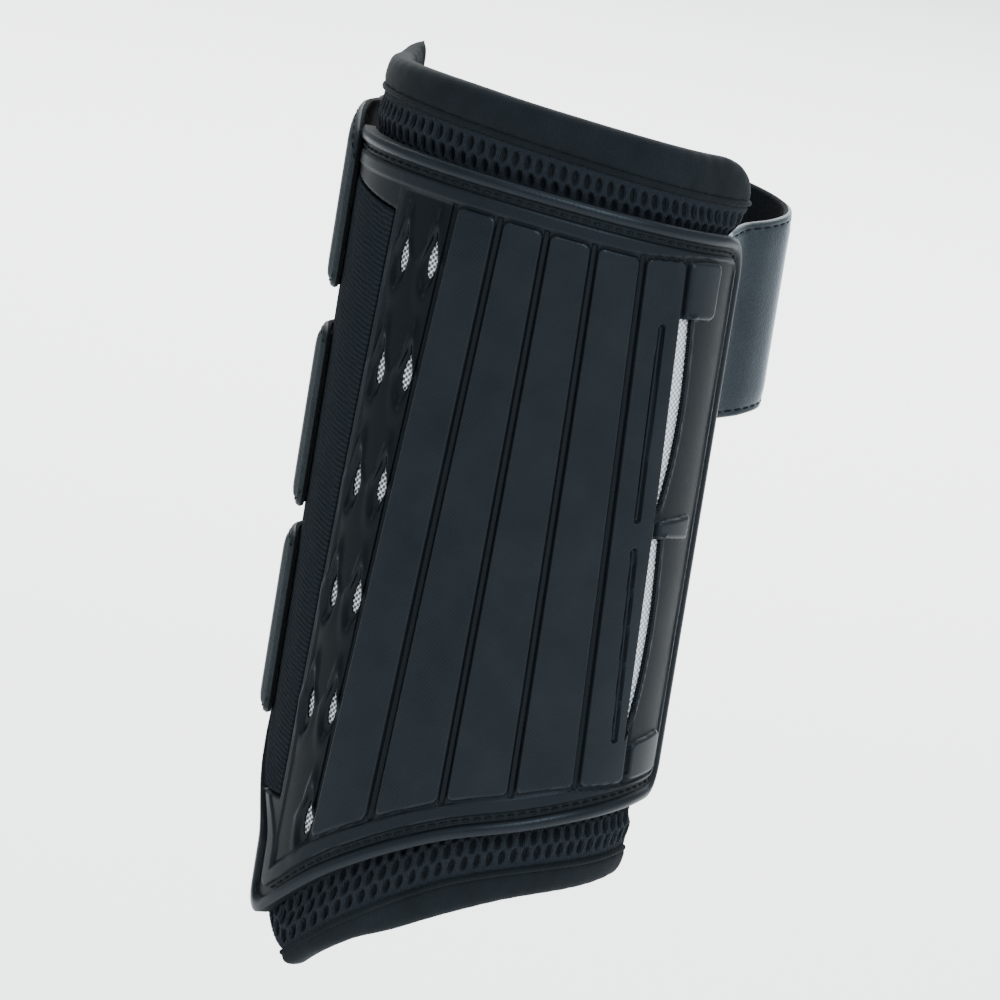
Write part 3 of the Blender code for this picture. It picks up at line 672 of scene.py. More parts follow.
# The tab leather is a darker copy of the strap leather, with less sheen and shine: its darker colour is painted
# shade.
TAB = leather_material("tab_leather_painted_shade", (0.0048, 0.0062, 0.007), (0.0145, 0.018, 0.02), 0.6, 0.15, 0.05)
STRAP_BACK = plush_material()
THREAD = thread_material()
HOOK = hook_material()


# ---------------------------------------------------------------- small repeated shapes

def stitches(centres, ahead, outward, length=2.0, radius=0.28, sink=0.05):
    """Points and quads of one rounded, slightly arched stitch at each centre (mm in, metres out)."""
    sides = 6
    rings = ((-1.0, 0.4, -0.35), (-0.75, 0.9, 0.0), (0.0, 1.0, 0.15), (0.75, 0.9, 0.0), (1.0, 0.4, -0.35))
    ahead = ahead / np.linalg.norm(ahead, axis=1)[:, None]
    across = np.cross(outward, ahead)
    points = []
    for along, thick, lift in rings:
        middle = centres + ahead * (0.5 * length * along) + outward * (radius * (1 + lift) - sink)
        for k in range(sides):
            turn = 2 * math.pi * k / sides
            points.append(middle + (outward * math.sin(turn) * 0.8 + across * math.cos(turn)) * radius * thick)
    points = np.stack(points, 1)
    one = []
    for r in range(len(rings) - 1):
        for k in range(sides):
            m = (k + 1) % sides
            one.append((r * sides + k, r * sides + m, (r + 1) * sides + m, (r + 1) * sides + k))
    end = (len(rings) - 1) * sides
    one += [(0, 3, 2, 1), (0, 5, 4, 3), (end, end + 1, end + 2, end + 3), (end, end + 3, end + 4, end + 5)]
    count = len(rings) * sides
    faces = np.array(one)[None] + np.arange(len(centres))[:, None, None] * count
    return points.reshape(-1, 3) * MM, faces.reshape(-1, 4)


def along_line(points, pitch, start=0.5):
    """Places spaced evenly along a line of points (mm), and the direction at each."""
    reach = reach_of(points)
    at = np.arange(start * pitch, reach[-1], pitch)
    centres = np.stack([np.interp(at, reach, points[:, k]) for k in range(3)], 1)
    ahead = np.stack([np.interp(at + 0.4, reach, points[:, k]) for k in range(3)], 1) - centres
    ahead[-1] = ahead[-2] if len(ahead) > 1 else ahead[-1]
    return centres, ahead


def outward_at(points):
    """Unit directions out of the limb at points (mm), level with them."""
    return np.stack([*section_normal(points[:, 0], points[:, 1]), np.zeros(len(points))], 1)


def tube(name, points, radius, material, sides=12, lumps=0.05):
    """A round cord along points (mm), closed at its ends, with a fine twist."""
    ahead = np.gradient(points, axis=0)
    ahead /= np.linalg.norm(ahead, axis=1)[:, None]
    side = outward_at(points)
    side -= (side * ahead).sum(1)[:, None] * ahead
    side /= np.linalg.norm(side, axis=1)[:, None]
    other = np.cross(ahead, side)
    ends = np.minimum(np.arange(len(points)), np.arange(len(points))[::-1])
    taper = np.sqrt(1 - np.clip(1 - ends / 2.0, 0, 1) ** 2 * 0.96)
    turn = 2 * math.pi * np.arange(sides) / sides
    twist = np.arange(len(points))[:, None] * 0.9 + 2 * turn[None]
    size = radius * taper[:, None] * (1 + lumps * np.sin(twist))
    cos, sin = np.cos(turn)[None, :, None], np.sin(turn)[None, :, None]
    ring = points[:, None] + size[..., None] * (cos * side[:, None] + sin * other[:, None])
    ids = np.arange(len(points) * sides).reshape(len(points), sides)
    faces = [ring_faces(ids)]
    for row, order in ((ids[0], 1), (ids[-1], -1)):
        for k in range(1, sides - 2, 2):
            faces.append(np.array([[row[0], row[k + 2], row[k + 1], row[k]]])[:, ::order])
    return mesh_object(name, ring.reshape(-1, 3) * MM, np.concatenate(faces), [material])


# ---------------------------------------------------------------- outer shell

def rim_distances(s, z):
    """Distances in from the shell's top, bottom, left and right edges."""
    slope = shell_bottom(s + 0.5) - shell_bottom(s - 0.5)
    return shell_top(s) - z, (z - shell_bottom(s)) / np.hypot(1, slope), s - shell_left(z), SHELL_RIGHT - s


def edge_distance(s, z):
    """Distance in from the shell's outline, with its four round corners."""
    top, bottom, left, right = rim_distances(s, z)
    return rounded_min(np.minimum(top, bottom), np.minimum(left, right), CORNER_RADIUS)


def cell_middles(values):
    """The value at the middle of each cell of a grid."""
    return 0.25 * (values[:-1, :-1] + values[1:, :-1] + values[:-1, 1:] + values[1:, 1:])


def rib_profile(distance, rounding=RIB_ROUND):
    """0 outside, rising in a quarter round to 1."""
    t = np.clip(distance / rounding, 0, 1)
    return np.sqrt(np.clip(1 - (1 - t) ** 2, 0, 1))


def slot_side(z):
    return SLOT_AROUND + SLOT_LEAN * (z - 40)


def slot_distance(s, z, peak):
    """Negative inside a leaf-shaped slot."""
    t = np.clip((peak - z) / SLOT_LENGTH, 0, 1)
    width = SLOT_WIDTH * spline(SLOT_LEAF, t)
    left, right = slot_side(z) - s, s - slot_side(z) - width
    return np.maximum(np.maximum(left, right), np.maximum(z - peak, peak - SLOT_LENGTH - z))


def vent_places():
    for start, lean, count in VENT_COLUMNS:
        for row in range(count):
            yield start - lean * row * VENT_PITCH, VENT_TOP - row * VENT_PITCH, lean


def vent_distance(s, z, around, height, lean):
    """Negative inside a teardrop vent, roughly in millimetres."""
    up = (z - height) / VENT_HALF[1]
    side = (s - around - lean * (z - height)) / (VENT_HALF[0] * (1 - 0.45 * np.clip(up, 0, 1)))
    return (np.sqrt(side**2 + up**2) - 1) * VENT_HALF[0]


def vents(s, z):
    """Distance from the nearest vent, negative inside it."""
    return np.min([vent_distance(s, z, *place) for place in vent_places()], 0)


def slots(s, z):
    """Distance from the nearest slot, negative inside it."""
    return np.min([slot_distance(s, z, peak) for peak in SLOT_PEAKS], 0)


def holes(s, z):
    return np.minimum(vents(s, z), slots(s, z))


def lip_rise(s, z):
    """How far the shell's inner face, and the mesh behind it, stand out round the holes."""
    vent, slot = (1 - smooth(0.9, 2.6, away) for away in (vents(s, z), slots(s, z)))
    return np.maximum(VENT_LIP_RISE * vent, SLOT_LIP_RISE * slot)


def bump_at(away, middle, width):
    """A smooth ridge, 1 where away is at its middle."""
    return np.exp(-(((away - middle) / width) ** 2))


def shell_relief(s, z):
    """(height above the shell's face, share of gloss) at each place."""
    edge = edge_distance(s, z)
    top, bottom, left, _ = rim_distances(s, z)
    height = -FLANGE_SINK * (1 - smooth(*FLANGE_END, edge))
    bead = np.sqrt(np.clip(1 - ((edge - BEAD_AT) / BEAD_HALF) ** 2, 0, 1))
    height = height + BEAD_RISE * bead
    tight = RIGHT_TIGHTER * smooth(*RIGHT_PART, s)
    height = height + BORDER_RISE * (smooth(*BORDER_FROM, edge) - smooth(*BORDER_TO, edge + tight))
    ends = np.minimum(top, bottom) - FIELD_INSET + tight

    # Grooves, and the ribs between them
    for line in GROOVE_LINES:
        channel = rounded_min(CHANNEL_HALF - np.abs(s - line(z)), ends + CHANNEL_ROUND, CHANNEL_ROUND)
        height = height - CHANNEL_CUT * rib_profile(channel, CHANNEL_ROUND)
    for a, b in zip(GROOVE_LINES[:-1], GROOVE_LINES[1:]):
        inside = rounded_min(np.minimum(s - a(z), b(z) - s) - GROOVE_HALF, ends, RIB_CORNER)
        height = height + RIB_RISE * rib_profile(inside)

    # Raised pads and a wedge right of the last groove
    last = GROOVE_LINES[-1](z) + GROOVE_HALF - GROOVE_LAP
    for low, high, reach, lean in PADS:
        top_side = high + lean * (s - PAD_LEANS_AT) - z
        inside = rounded_min(np.minimum(s - last, reach - s),
                             np.minimum(np.minimum(z - low, top_side), ends), PAD_CORNER)
        height = height + RIB_RISE * rib_profile(inside, PAD_ROUND)
    right_of = s - WEDGE_AT
    wedge = WEDGE_HALF + WEDGE_SPREAD * right_of - np.abs(z - WEDGE_LEVEL - WEDGE_LEAN * right_of)
    inside = rounded_min(np.minimum(s - WEDGE_SIDES[0], WEDGE_SIDES[1] - s), wedge, WEDGE_CORNER)
    height = height + RIB_RISE * rib_profile(inside, WEDGE_ROUND)
    for s0, z0, s1, z1 in SLITS:
        across = np.abs(s - mix(s0, s1, (z - z0) / (z1 - z0)))
        inside = rounded_min(SLIT_HALF - across, np.minimum(z0 - z, z - z1), SLIT_CORNER)
        ridge = rib_profile(0.5 - across, 0.5) * smooth(0.3, 0.8, inside)
        height = height - SLIT_DEPTH * rib_profile(inside, 0.5) + SLIT_RIDGE * ridge

    # Glossy band left of the ribs
    band_right = GROOVE_LINES[0](z) + GROOVE_HALF - GROOVE_LAP
    zone = rounded_min(np.minimum(s - strip_line(z) - GLOSS_INSET, band_right - s), ends + 0.3, GLOSS_CORNER)
    height = height - GLOSS_SINK * rib_profile(zone, GLOSS_ROUND)

    # Dished vents under hoods, and a ridge along each slot
    for place in vent_places():
        dish = vent_distance(s + DISH_SHIFT[0], z + DISH_SHIFT[1], *place) - DISH_GROWS
        upper = 0.3 + 0.7 * smooth(-4.0, 3.5, z - place[1])
        height = height - DISH_SINK * (1 - smooth(*DISH_SLOPE, dish))
        height = height + HOOD_RISE * upper * bump_at(dish, HOOD_AT, HOOD_WIDE)
    for peak in SLOT_PEAKS:
        right_side = smooth(1.5, 3.0, s - slot_side(z))
        ridge = bump_at(slot_distance(s, z, peak), SLOT_RIM_AT, SLOT_RIM_WIDE)
        height = height + SLOT_RIM_RISE * right_side * ridge
    low_gloss = smooth(*LOW_GLOSS_LEVELS, z) * (1 - smooth(*LOW_GLOSS_EDGE, left))
    return height, np.clip(smooth(0.2, 0.9, zone) + low_gloss, 0, 1)


def strip_floor(s):
    """Lower edge of the loop strip: it keeps off the shell's rim."""
    return np.maximum(STRIP_BOTTOM, shell_bottom(s) + STRIP_OVER_RIM)


def inside_strip(s, z, floor):
    """Distance in from the loop strip's outline."""
    sides = np.minimum(s - shell_left(z) - STRIP_MARGIN, strip_line(z) - s)
    return np.minimum(sides, np.minimum(strip_top(s) - z, z - floor))


def pocket_depth(s, z):
    """The pocket that the loop strip lies in."""
    return STRIP_RECESS * smooth(-1.1, -0.1, inside_strip(s, z, strip_floor(s)))


def shell_columns():
    """(left line, right line, shares) for each zone of upright grid lines."""
    edge = np.array([0.0, 0.25, 0.5, 0.75, 1.05, 1.25, 1.45, 1.7, 2.0, 2.5, 3.3, 4.3])
    zones = [(shell_left, strip_line, np.linspace(0, 1, 40))]
    zones.append((strip_line, GROOVE_LINES[0], np.linspace(0, 1, 76)))
    for a, b in zip(GROOVE_LINES[:-1], GROOVE_LINES[1:]):
        shares = np.concatenate([edge / 15.5, np.linspace(0.36, 0.64, 4), 1 - edge[::-1] / 15.5])
        zones.append((a, b, shares))
    zones[-1] = (GROOVE_LINES[-2], GROOVE_LINES[-1], np.linspace(0, 1, 66))
    zones.append((GROOVE_LINES[-1], lambda z: SHELL_RIGHT + 0 * z, np.linspace(0, 1, 62)))
    return zones


def row_layout(near, between, bottom, top):
    """(number of rows, their heights): at the distances in near from both rims, and evenly between them."""
    near_count, kinds = len(near), np.concatenate([near, np.linspace(0, 1, between)[1:-1], near[::-1]])

    def rows(s):
        low, high = bottom(s), top(s)
        heights = mix(low + near[-1], high - near[-1], kinds[None])
        heights[:, :near_count] = low[:, :near_count] + kinds[None, :near_count]
        heights[:, -near_count:] = high[:, -near_count:] - kinds[None, -near_count:]
        return heights

    return len(kinds), rows


def shell_grid():
    near = np.concatenate([np.arange(0, 3.6, 0.3), np.arange(3.6, 12.4, 0.42)])
    row_count, rows = row_layout(near, 380, shell_bottom, shell_top)
    grids = []
    for number, (a, b, shares) in enumerate(shell_columns()):
        shares = shares if number == 0 else shares[1:]
        start = np.zeros((len(shares), row_count)) + mix(a(0.0), b(0.0), shares)[:, None]
        grids.append(crossing(lambda z: mix(a(z), b(z), shares[:, None]), rows, start))
    return np.concatenate([g[0] for g in grids]), np.concatenate([g[1] for g in grids])


def to_outline(s, z, move, distance, target=0.0):
    """Moves the chosen points straight to where the distance is the target."""
    step = 0.05
    for _ in range(3):
        here = distance(s, z) - target
        ds = (distance(s + step, z) - distance(s - step, z)) / (2 * step)
        dz = (distance(s, z + step) - distance(s, z - step)) / (2 * step)
        size = np.maximum(ds**2 + dz**2, 0.05)
        s = np.where(move, s - here * ds / size, s)
        z = np.where(move, z - here * dz / size, z)
    return s, z


def beside_removed(keep):
    """Grid points that touch both a kept cell and a removed one."""
    near = np.zeros((keep.shape[0] + 2, keep.shape[1] + 2), int)
    near[1:-1, 1:-1] = np.where(keep, 1, -1)
    corners = (near[:-1, :-1], near[1:, :-1], near[:-1, 1:], near[1:, 1:])
    return (np.max(corners, 0) == 1) & (np.min(corners, 0) == -1)


def make_shell():
    s, z = shell_grid()
    middle = cell_middles(s), cell_middles(z)
    in_outline, off_holes = edge_distance(*middle) > 0, holes(*middle) > 0
    s, z = to_outline(s, z, beside_removed(off_holes), holes)
    s, z = to_outline(s, z, beside_removed(in_outline), edge_distance)
    keep = in_outline & off_holes
    height, gloss = shell_relief(s, z)
    height = height - pocket_depth(s, z)
    outer = wrap(s, z, height)
    inner = wrap(s, z, SHELL_INSIDE + lip_rise(s, z))
    glossy = np.where(cell_middles(gloss) > 0.5, 1, 0)
    # The wrap values carry the relief height, which shell_material uses for the painted shade in the channels.
    shell = grid_solid("ribbed_shell", outer, inner, [SATIN, GLOSS, MATT], keep, glossy,
                       wrap_coordinates(s, z, height))
    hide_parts("outer_shell")
    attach(shell, "brace")


def make_shell_stitching():
    """Stitches in the channel inside the edge bead: top, right side and bottom."""
    inset, right = STITCH_INSET, SHELL_RIGHT - STITCH_INSET
    along_top, along_low = np.linspace(STITCHED_FROM, right, 220), np.linspace(right, STITCHED_TO, 200)
    down = np.linspace(float(shell_top(SHELL_RIGHT)) - inset, float(shell_bottom(SHELL_RIGHT)) + inset, 160)
    s = np.concatenate([along_top, np.full(len(down), right), along_low])
    z = np.concatenate([shell_top(along_top) - inset, down, shell_bottom(along_low) + inset])
    for _ in range(3):
        s, z = to_outline(s, z, True, edge_distance, inset)
    centres, ahead = along_line(wrap(s, z, -0.3) / MM, 3.0)
    made, faces = stitches(centres, ahead, outward_at(centres), 2.1, 0.3)
    thread = mesh_object("shell_stitching", made, faces, [THREAD])
    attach(thread, "brace")


def make_slot_edging():
    """A row of fine dark beads along the right edge of each slot."""
    made, quads, start = [], [], 0
    for peak in SLOT_PEAKS:
        z = np.linspace(peak - 0.6, peak - SLOT_LENGTH + 1.2, 400)
        s = slot_side(z) + SLOT_WIDTH * spline(SLOT_LEAF, (peak - z) / SLOT_LENGTH) - 0.15
        centres, ahead = along_line(wrap(s, z, -0.35) / MM, 0.75)
        outward = outward_at(centres)
        beads, faces = stitches(centres, np.cross(outward, ahead), outward, 1.0, 0.24)
        made.append(beads)
        quads.append(faces + start)
        start += len(beads)
    edging = mesh_object("slot_edging", np.concatenate(made), np.concatenate(quads), [THREAD])
    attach(edging, "brace")


# ---------------------------------------------------------------- meshes, spacer and strip

def band_grid(left, right, low, high, columns, rows):
    """(around, height) arrays of an even grid between two upright lines and two level lines."""
    t, u = np.linspace(0, 1, columns)[:, None], np.linspace(0, 1, rows)[None]
    start = np.zeros((columns, rows)) + mix(left(0.0), right(0.0), t)
    return crossing(lambda z: mix(left(z), right(z), t), lambda s: mix(low(s), high(s), u), start)


def make_silver(name, node, silver, left, right, low, high, spacing=0.19):
    """A mesh sheet of round knots in staggered rows, held close behind the holes."""
    columns = int((right(0.0) - left(0.0)) / spacing)
    rows = int((float(high(0.0)) - float(low(0.0))) / spacing)
    s, z = band_grid(left, right, low, high, columns, rows)
    weave = 0.22 * np.cos(math.pi * s / MESH_PITCH) * np.cos(math.pi * z / MESH_PITCH)
    outer = wrap(s, z, BACKING_OUT[0] + weave + 0.1 + lip_rise(s, z))
    mesh = grid_solid(name, outer, wrap(s, z, BACKING_OUT[1]), [silver],
                      wrap_at=wrap_coordinates(s, z, weave), sharp=180)
    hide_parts(node)
    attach(mesh, "brace")


def make_silver_meshes():
    make_silver("vent_weave", "vent_mesh", VENT_SILVER, fan(-46.5, -53.0), fan(-26.5, -35.5),
                lambda s: shell_bottom(s) + 8.0, lambda s: shell_top(s) - 11.0)
    make_silver("slot_weave", "slot_mesh", SLOT_SILVER, fan(37.0, 42.0), fan(49.0, 54.0),
                lambda s: -56.0 + 0 * s, lambda s: 64.0 + 0 * s)


def spacer_right(z):
    """At the upper right the spacer stands out past the shell's edge."""
    return SPACER_RIGHT + 6.5 * smooth(80, 91, z)


def right_flare(s, z):
    return 3.6 * smooth(46, 66, s) * smooth(79, 90, z)


def make_spacer():
    """Spacer fabric: staggered upright cells near both rims and at the left edge, and also, on a coarser grid,
    where it is covered.
    """
    columns = 520
    row_count, rows = row_layout(np.arange(0, SPACER_BAND, 0.36), 60, lambda s: spacer_bottom(s) - SPACER_TUCK,
                                 lambda s: spacer_top(s) + SPACER_TUCK)
    t = np.linspace(0, 1, columns)[:, None]
    start = np.zeros((columns, row_count)) + mix(SPACER_LEFT, SPACER_RIGHT, t)
    s, z = crossing(lambda z: mix(spacer_left(z), spacer_right(z), t), rows, start)
    rim = np.minimum(spacer_top(s) + SPACER_TUCK - z, z - spacer_bottom(s) + SPACER_TUCK)
    row = (rim - CELL_MARGIN) / CELL_HIGH
    u = (s / CELL_WIDE + 0.5 * (np.floor(row) % 2)) % 1.0 - 0.5
    v = row % 1.0 - 0.5
    ring = np.hypot(u * CELL_WIDE / CELL_HALF[0], v * CELL_HIGH / CELL_HALF[1])
    cell = (1 - smooth(0.6, 1.25, ring)) * (rim > CELL_MARGIN)
    fine = 0.07 * np.sin(2 * math.pi * s / 0.85 + 1.3 * np.sin(z)) + 0.05 * np.sin(2 * math.pi * z / 1.1)
    hem = np.minimum(rim, np.minimum(s - spacer_left(z), spacer_right(z) - s))
    rolled = np.sqrt(np.clip(1 - (hem / HEM_ROUND - 1) ** 2, 0, 1))
    height = SPACER_OUT[0] - HEM_DROP + HEM_DROP * np.where(hem < HEM_ROUND, rolled, 1)
    height = height + (fine + 0.3) * (1 - cell) - CELL_DEEP * cell
    height = height + ROLL_RISE * bump_at(rim, ROLL_AT, ROLL_WIDE) * (rim < ROLL_ENDS) + right_flare(s, z)
    outer = wrap(s, z, height)
    inner = wrap(s, z, SPACER_OUT[1] + right_flare(s, z))
    # The third wrap value, -cell, is the mask for the painted shade in the cells.
    spacer = grid_solid("spacer_band", outer, inner, [SPACER], wrap_at=wrap_coordinates(s, z, -cell))
    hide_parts("spacer_mesh")
    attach(spacer, "brace")


def make_piping():
    """A thin cord in the seam between the spacer and each collar."""
    lines = (
        ("top", spacer_top, PIPING_OFF, SPACER_LEFT + 1, SPACER_RIGHT + 6),
        ("bottom", spacer_bottom, -PIPING_OFF, SPACER_LEFT_LOW + 12.5, SPACER_RIGHT - 1),
    )
    for name, edge, lift, left, right in lines:
        s = np.linspace(left, right, 420)
        z = edge(s) + lift * np.hypot(1, 0.5 * (edge(s + 1) - edge(s - 1)))
        points = wrap(s, z, SPACER_OUT[0] + 0.5 + right_flare(s, z)) / MM
        cord = tube(f"{name}_piping_cord", points, PIPING_RADIUS, COLLAR)
        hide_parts(f"{name}_piping")
        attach(cord, "brace")


def make_strip():
    """Loop pile: a thick soft nap with slanting furrows, thinner at its edge."""
    s, z = band_grid(lambda z: shell_left(z) + STRIP_MARGIN, strip_line, strip_floor, strip_top, 90, 620)
    inside = inside_strip(s, z, STRIP_BOTTOM)
    nap = NAP_RISE * np.random.default_rng(5).normal(0, 1, s.shape)
    slant = 2 * math.pi * (0.25 * s + 0.97 * z) / FURROW_PERIOD
    furrow = FURROW_RISE * np.sin(slant + 0.9 * np.sin(s / 1.7 + z / 5.0))
    height = furrow + nap - 0.1 + 0.25 * np.sqrt(np.clip(inside / 1.2, 0, 1))
    height[inside < 0.05] = -0.35
    strip = grid_solid("pile_strip", wrap(s, z, height), wrap(s, z, -STRIP_RECESS + STRIP_GAP), [PILE],
                       wrap_at=wrap_coordinates(s, z), sharp=80)
    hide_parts("loop_strip")
    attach(strip, "brace")


# ---------------------------------------------------------------- lining and collars

def make_lining():
    """The lining sheet, softly quilted on the limb's side."""
    s, z = band_grid(lambda z: liner_left(z) + 7 * smooth(88, 104, z), lambda z: LINER_RIGHT + 0 * z,
                     lambda s: liner_bottom(s) + 3.0 + np.maximum(spline(COLLAR_HEM, s), 0),
                     lambda s: liner_top(s) - 4.0, 150, 190)
    quilt = 0.5 * np.abs(np.sin(math.pi * s / 24) * np.sin(math.pi * (z - 2) / 32)) ** 0.5
    puckers = 0.06 * np.sin(2 * math.pi * z / 3.1 + 1.7 * np.sin(s / 4))
    rim = np.clip(np.minimum(s - liner_left(z), LINER_RIGHT - s), 0, 2.0) / 2.0
    swell = np.sqrt(1 - (1 - rim) ** 2)
    heart = 0.5 * sum(LINER_OUT)
    outer = wrap(s, z, mix(heart, LINER_OUT[0] - 0.1, swell))
    inner = wrap(s, z, mix(heart - 0.05, LINER_OUT[1] + 0.3 - (quilt + puckers) * rim, swell))
    lining = grid_solid("lining_pad", outer, inner, [LINING], wrap_at=wrap_coordinates(s, z), sharp=70)
    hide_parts("liner")
    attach(lining, "brace")


def inflate(obj, limit):
    """Swells a closed mesh as padded cloth does, moving no point further than the limit."""
    rest = np.array([v.co for v in obj.data.vertices], float)
    cloth = obj.modifiers.new("cloth", "CLOTH")
    settings = cloth.settings
    settings.quality = 5
    settings.mass = 0.15
    settings.tension_stiffness = settings.compression_stiffness = 25
    settings.shear_stiffness, settings.bending_stiffness = 8, 0.6
    settings.use_pressure, settings.uniform_pressure_force = True, 4
    settings.effector_weights.gravity = 0
    cloth.collision_settings.use_collision = False
    cloth.point_cache.frame_start, cloth.point_cache.frame_end = 1, SWELL_FRAMES
    scene = bpy.context.scene
    for number in range(1, SWELL_FRAMES + 1):
        scene.frame_set(number)
    graph = bpy.context.evaluated_depsgraph_get()
    swollen = obj.evaluated_get(graph).to_mesh()
    moved = np.array([v.co for v in swollen.vertices], float)
    obj.evaluated_get(graph).to_mesh_clear()
    obj.modifiers.remove(cloth)
    scene.frame_set(1)
    shift = moved - rest
    size = np.maximum(np.linalg.norm(shift, axis=1), 1e-9)
    shift *= np.minimum(1, limit * MM / size)[:, None]
    obj.data.vertices.foreach_set("co", (rest + shift).astype(np.float32).ravel())
    obj.data.update()


def make_collar(name, left, right, low, high, flare, horn=0.0, cut=0.0):
    """A padded collar: a closed tube of flattened section, fuller outside and round at its right end.

    The left end rises to a point by horn, or has its lower corner cut round by cut.
    """
    stations, sides = 160, 26
    s = np.linspace(left, right, stations)
    turn = 2 * math.pi * np.arange(sides) / sides
    bottom, top = low(s), high(s)
    from_left, from_right = s - left, right - s
    if cut:
        bottom = bottom + cut - np.sqrt(cut**2 - np.clip(cut - from_left, 0, cut) ** 2)
    end = COLLAR_END_ROUND
    drop = end - np.sqrt(end**2 - np.clip(end - from_right, 0, end) ** 2)
    if horn:
        top = top + horn * np.clip(1 - from_left / HORN_LONG, 0, 1) ** 1.6
        top = top - HORN_RIGHT_DROP * np.clip(1 - from_right / HORN_RIGHT_LONG, 0, 1) ** 2
    top, bottom = (top - drop, bottom) if horn else (top, bottom + drop)
    to_end = np.minimum(from_left, from_right)
    closing = np.sqrt(1 - np.clip(1 - to_end / COLLAR_CLOSES, 0, 1) ** 2) * 0.9 + 0.1
    half = 0.5 * (top - bottom) * (1 if horn else 0.3 + 0.7 * closing)
    depth = COLLAR_HALF_DEPTH * closing
    up = np.sign(np.sin(turn)) * np.abs(np.sin(turn)) ** COLLAR_POWER
    across = np.sign(np.cos(turn)) * np.abs(np.cos(turn)) ** COLLAR_POWER
    height = 0.5 * (top + bottom)[:, None] + half[:, None] * up[None]
    rise = np.clip((height - bottom[:, None]) / (top - bottom)[:, None], 0, 1)
    tip = np.clip(1 - from_left / HORN_TIP, 0, 1)[:, None] ** 2
    s = s[:, None] + (HORN_LEANS * tip * (1 - rise) if horn else 0 * rise)
    out = COLLAR_OUT - COLLAR_SINK + depth[:, None] * across[None] + flare(s, rise) + right_flare(s, height)
    puckers = 0.1 * np.sin(2 * math.pi * s / 5.3) * np.sin(turn)[None]
    points = wrap(s, height, out + puckers)
    ids = np.arange(stations * sides).reshape(stations, sides)
    faces = [ring_faces(ids)]
    for row, order in ((ids[0], 1), (ids[-1], -1)):
        for k in range(sides // 2 - 1):
            faces.append(np.array([[row[k], row[k + 1], row[sides - 2 - k], row[sides - 1 - k]]])[:, ::order])
    collar = mesh_object(name, points.reshape(-1, 3), np.concatenate(faces), [COLLAR],
                         wrap_at=wrap_coordinates(s, height), sharp=180)
    inflate(collar, SWELL_LIMIT)
    subdivision = collar.modifiers.new("fine", "SUBSURF")
    subdivision.levels = subdivision.render_levels = 1
    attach(collar, "brace")


def make_collars():
    def top_flare(s, rise):
        return 1.2 * (0.4 - rise) + 2.2 * smooth(-86, -99, s) * rise

    make_collar("top_collar", -99.5, SPACER_RIGHT + 6.5, lambda s: spacer_top(s) + 0.9,
                lambda s: liner_top(s) + 1.3 * smooth(-70, -20, s), top_flare, horn=3.7)
    make_collar("bottom_collar", SPACER_LEFT_LOW + 11.5, LINER_RIGHT,
                lambda s: liner_bottom(s) + spline(COLLAR_HEM, s), lambda s: spacer_bottom(s) - 0.9,
                lambda s, rise: 1.2 * (rise - 0.6), cut=7.0)


# ---------------------------------------------------------------- straps

def plan_curve(points, spacing):
    """Evenly spaced places on a smooth line through the given plan points."""
    chord = reach_of(np.array(points))
    fine = np.linspace(0, chord[-1], 600)
    line = np.stack([spline(list(zip(chord, [p[k] for p in points])), fine) for k in (0, 1)], 1)
    reach = reach_of(line)
    at = np.linspace(0, reach[-1], max(3, round(reach[-1] / spacing)))
    return np.stack([np.interp(at, reach, line[:, k]) for k in (0, 1)], 1)


